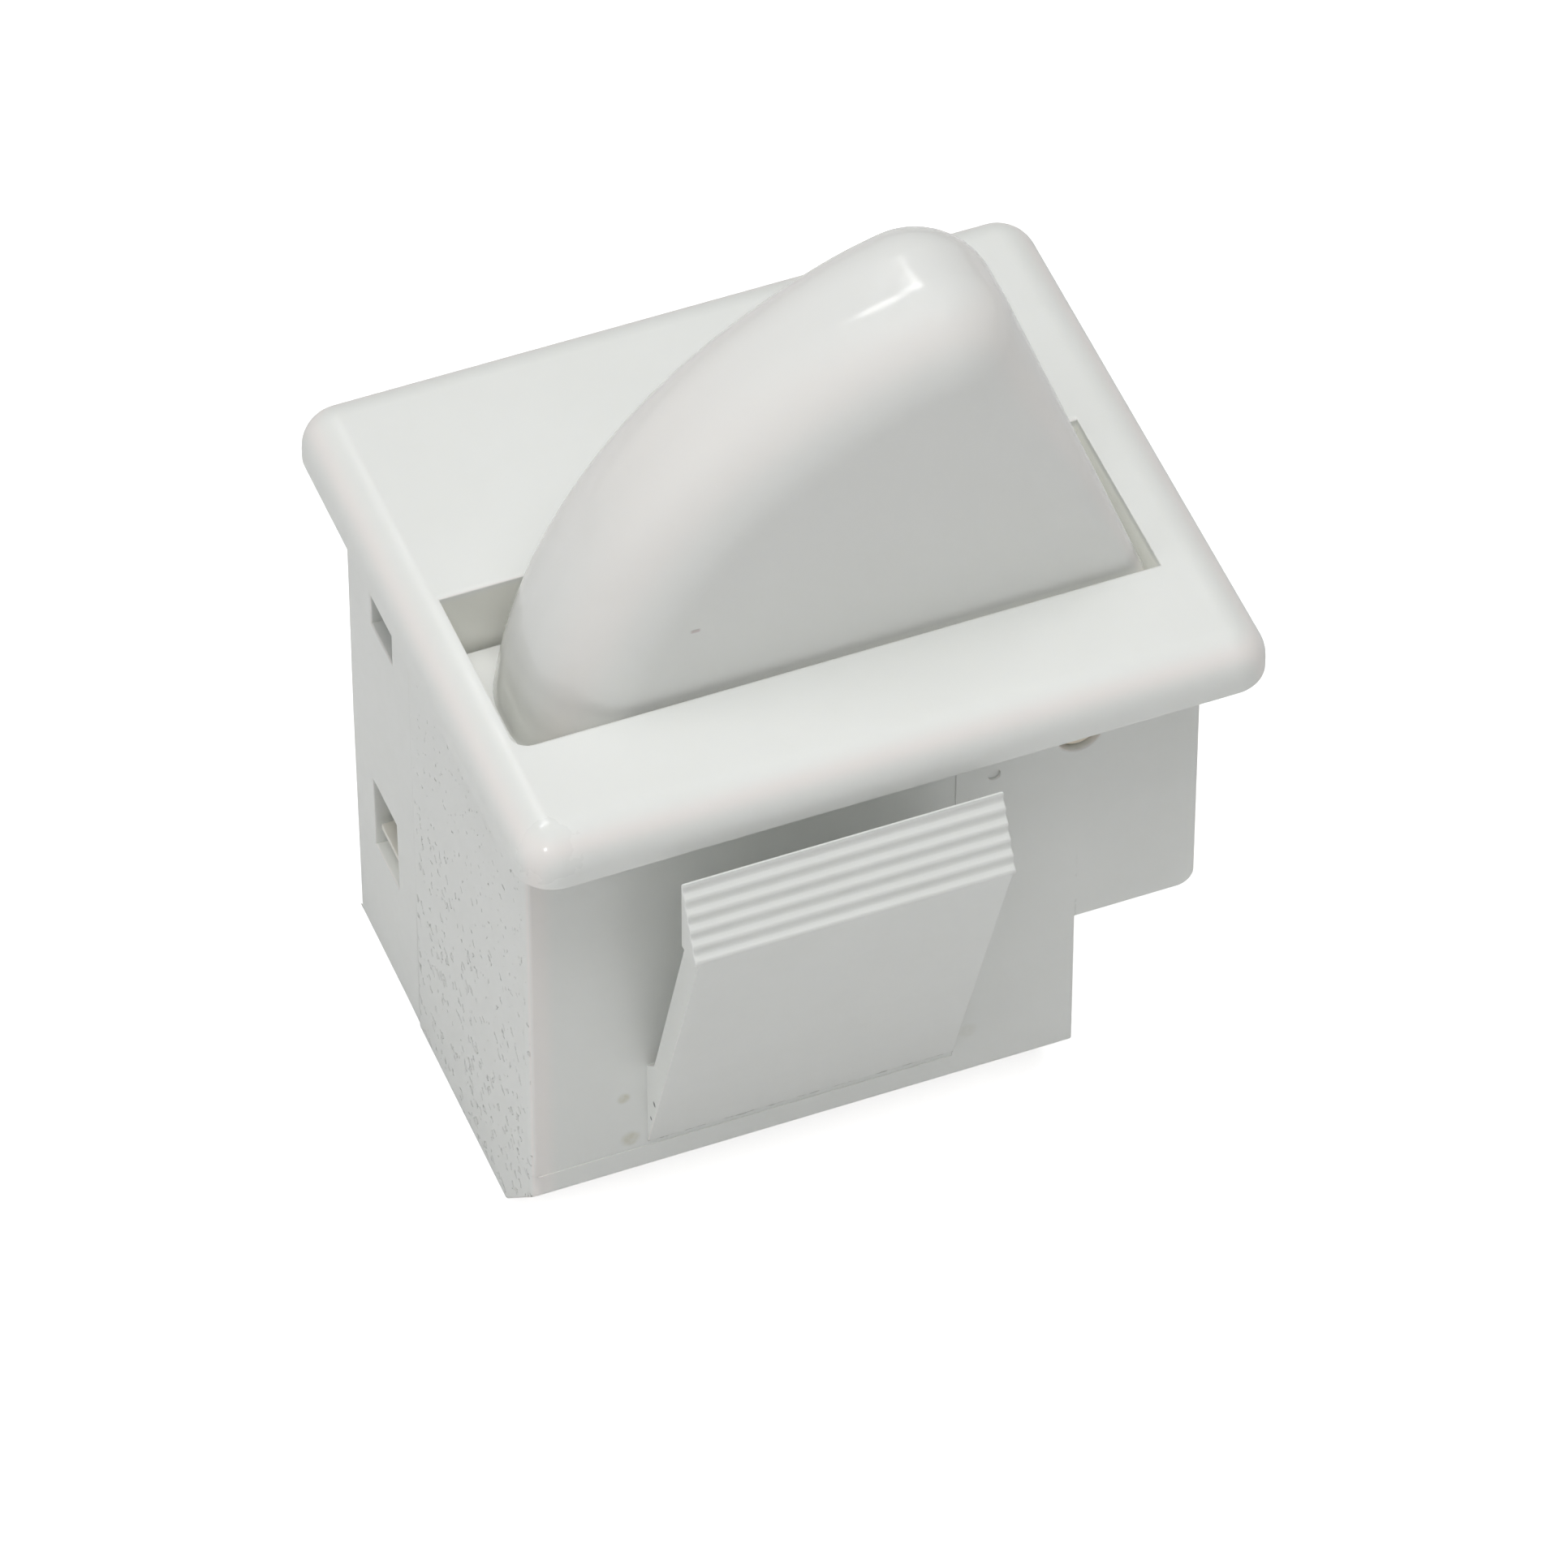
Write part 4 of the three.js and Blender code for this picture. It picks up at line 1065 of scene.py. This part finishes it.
def terminal(node, name, side):
    """Bent sheet terminal: an upright tab with a lead-in tip and a hole, and a shelf at its top."""
    low, high = layout_box(node)
    sheet, shelf_half, tip = TAB["sheet"], TAB["shelf_half"], TAB["tip"]
    x0, x1 = (low.x, low.x + sheet) if side < 0 else (high.x - sheet, high.x)
    tab = prism("X", [
        (low.y, high.z), (low.y, low.z + tip), (low.y + tip, low.z), (high.y - tip, low.z),
        (high.y, low.z + tip), (high.y, high.z),
    ], x0, x1)
    shelf = block(low.x, high.x, CONTACT_Y - shelf_half, CONTACT_Y + shelf_half, high.z - sheet, high.z)
    rivet_x = low.x + TAB["rivet_in"] if side < 0 else high.x - TAB["rivet_in"]
    rivet_hole = circle(rivet_x, CONTACT_Y, TAB["rivet_hole_r"], 32)
    tab_hole = circle(CONTACT_Y, TAB_HOLE["z"], TAB_HOLE["r"], 40)
    body = cut(
        join(tab, shelf),
        prism("Z", rivet_hole, high.z - sheet - PAST, high.z + PAST),
        prism("X", tab_hole, x0 - PAST, x1 + PAST),
    )
    outer = low.x if side < 0 else high.x

    def edge(middle, along, convex):
        if near(middle.x, outer) and near(middle.z, high.z) and abs(along.y) > 0.9:
            return BEND_R
        return 0.06 if convex else 0

    round_edges(body, edge, segments=4)
    place_piece(body, name, "tinned_brass", node, "case")


def dress_cad(node, slot, width):
    """Keeps a CAD node's shape and gives it rounded edges and its material."""
    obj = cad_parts[node]
    weld = obj.modifiers.new("weld", "WELD")
    weld.merge_threshold = 1e-6
    flat = obj.modifiers.new("flat", "DECIMATE")
    flat.decimate_type = "DISSOLVE"
    flat.angle_limit = math.radians(1)
    soft = obj.modifiers.new("round", "BEVEL")
    soft.width = width * MM
    soft.segments = 2
    soft.limit_method = "ANGLE"
    soft.angle_limit = math.radians(35)
    normals = obj.modifiers.new("normals", "WEIGHTED_NORMAL")
    normals.keep_sharp = True
    for material_slot in obj.material_slots:
        material_slot.material = MATERIALS[slot]


# --- object
housing()
wing("front_wing_moulding", "front_snap_wing", "front_wing", rear=False)
wing("rear_wing_moulding", "rear_snap_wing", "rear_wing", rear=True)
rocker()
pivot_pin()
return_spring()
coil_spring("slider_spring", 6, 0.18, "plunger_spring", None)
for circuit, turns in (("lamp", 3), ("fan", 4)):
    coil_spring(f"{circuit}_contact_spring", turns, 0.15, f"{circuit}_pressure_spring", "slider")
    dress_cad(f"{circuit}_bridge", "brass", 0.06)
    rivets = ("fixed", "case", circuit == "fan"), ("moving", "slider", circuit == "lamp")
    for letter, side in (("a", -1), ("b", 1)):
        terminal(f"{circuit}_terminal_{letter}", f"{circuit}_tab_{letter}", side)
        for kind, body, faces_up in rivets:
            rivet(f"{circuit}_{kind}_contact_{letter}", f"{circuit}_{kind}_rivet_{letter}", body, faces_up)
dress_cad("contact_slider", "natural_plastic", 0.1)
dress_cad("contact_base", "natural_plastic", 0.1)


# --- floor, light and camera
# Metres and watts.
FLOOR = {"half": 4, "gap": 0.00002, "tone": 0.89, "lift": 0.72}
LIGHT_DISTANCE = 0.9


def floor_material():
    """Near white to the camera, and absent for any path that comes up through the floor."""
    material = bpy.data.materials.new("floor")
    material.use_nodes = True
    nodes, links = material.node_tree.nodes, material.node_tree.links
    nodes.clear()
    output, paper, glow, rays, lift, lit, clear, side, switch, absent = [
        nodes.new("ShaderNode" + kind) for kind in (
            "OutputMaterial", "BsdfDiffuse", "Emission", "LightPath", "Math", "AddShader",
            "BsdfTransparent", "NewGeometry", "MixShader", "Math",
        )
    ]
    paper.inputs["Color"].default_value = rgba(*[FLOOR["tone"]] * 3)
    lift.operation = "MULTIPLY"
    lift.inputs[1].default_value = FLOOR["lift"]
    absent.operation = "MAXIMUM"
    for source, target in (
        (rays.outputs["Is Camera Ray"], lift.inputs[0]),
        (lift.outputs[0], glow.inputs["Strength"]),
        (paper.outputs[0], lit.inputs[0]),
        (glow.outputs[0], lit.inputs[1]),
        (side.outputs["Backfacing"], absent.inputs[0]),
        (rays.outputs["Transparent Depth"], absent.inputs[1]),
        (absent.outputs[0], switch.inputs[0]),
        (lit.outputs[0], switch.inputs[1]),
        (clear.outputs[0], switch.inputs[2]),
        (switch.outputs[0], output.inputs["Surface"]),
    ):
        links.new(source, target)
    return material


def backdrop():
    """Pale floor just under the case."""
    bm = bmesh.new()
    bmesh.ops.create_grid(bm, x_segments=1, y_segments=1, size=FLOOR["half"])
    floor = mesh_object(bm, "floor")
    floor.location = (ORIGIN.x, ORIGIN.y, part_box("bezel_housing")[0].z - FLOOR["gap"])
    floor.data.materials.append(floor_material())


def direction(azimuth, elevation):
    """Unit vector towards a viewer or a light; azimuth 0 is in front and 90 on the right."""
    a, e = math.radians(azimuth), math.radians(elevation)
    return Vector((math.sin(a) * math.cos(e), -math.cos(a) * math.cos(e), math.sin(e)))


def area_light(name, azimuth, elevation, size, power, glint=False, only=None):
    """Light aimed at the part: soft and diffuse only, or a round glint that shows only as a reflection."""
    back = direction(azimuth, elevation)
    light = bpy.data.lights.new(name, "AREA")
    light.shape = "DISK" if glint else "SQUARE"
    light.size = size
    light.energy = power
    obj = bpy.data.objects.new(name, light)
    obj.location = ORIGIN + back * LIGHT_DISTANCE
    obj.rotation_mode = "QUATERNION"
    obj.rotation_quaternion = (-back).to_track_quat("-Z", "Y")
    obj.visible_glossy, obj.visible_diffuse = glint, not glint
    bpy.context.scene.collection.objects.link(obj)
    if only:
        receivers = bpy.data.collections.new(name + "_receivers")
        receivers.objects.link(bpy.data.objects[only])
        obj.light_linking.receiver_collection = receivers


def surroundings(soft, reflected, seen):
    """Even surroundings: strengths as soft light, in reflections and as the camera sees them."""
    world = bpy.data.worlds.new("studio")
    world.use_nodes = True
    nodes, links = world.node_tree.nodes, world.node_tree.links
    rays = nodes.new("ShaderNodeLightPath")
    strength = nodes.new("ShaderNodeMapRange")
    strength.inputs["To Min"].default_value = soft
    strength.inputs["To Max"].default_value = reflected
    links.new(rays.outputs["Is Glossy Ray"], strength.inputs["Value"])
    direct = nodes.new("ShaderNodeMath")
    direct.operation = "MULTIPLY_ADD"
    direct.inputs[1].default_value = seen - soft
    links.new(rays.outputs["Is Camera Ray"], direct.inputs[0])
    links.new(strength.outputs["Result"], direct.inputs[2])
    links.new(direct.outputs[0], nodes["Background"].inputs["Strength"])
    nodes["Background"].inputs["Color"].default_value = rgba(0.985, 1, 0.965)
    bpy.context.scene.world = world


def camera(azimuth, elevation, distance, aim, lens):
    back = direction(azimuth, elevation)
    data = bpy.data.cameras.new("camera")
    data.lens = lens
    data.clip_start = 0.01
    obj = bpy.data.objects.new("camera", data)
    obj.location = IN_FRAME @ (Vector(aim) + back * distance)
    obj.rotation_mode = "QUATERNION"
    obj.rotation_quaternion = (-back).to_track_quat("-Z", "Y")
    bpy.context.scene.collection.objects.link(obj)
    bpy.context.scene.camera = obj


backdrop()
surroundings(soft=0.11, reflected=0.6, seen=0.95)
area_light("overhead", 0, 88, 0.8, 5.5)
area_light("high_front", -10, 60, 0.6, 1.45)
area_light("left_fill", -80, 25, 0.5, 1.35)
area_light("back_fill", 180, 45, 0.5, 0.15)
area_light("under_fill", 20, -60, 0.6, 2.5)
area_light("ridge_glint", -157.5, 58.6, 0.15, 0.33, glint=True)
area_light("peak_glint", -180, 56.2, 0.19, 0.62, glint=True)
area_light("corner_glint", -43, 42, 0.09, 0.7, glint=True, only="housing_shell")
camera(azimuth=-21.5, elevation=47.12, distance=562.05, aim=(0.21, 0, -14.94), lens=279.9)
bpy.context.scene.view_settings.view_transform = "Standard"
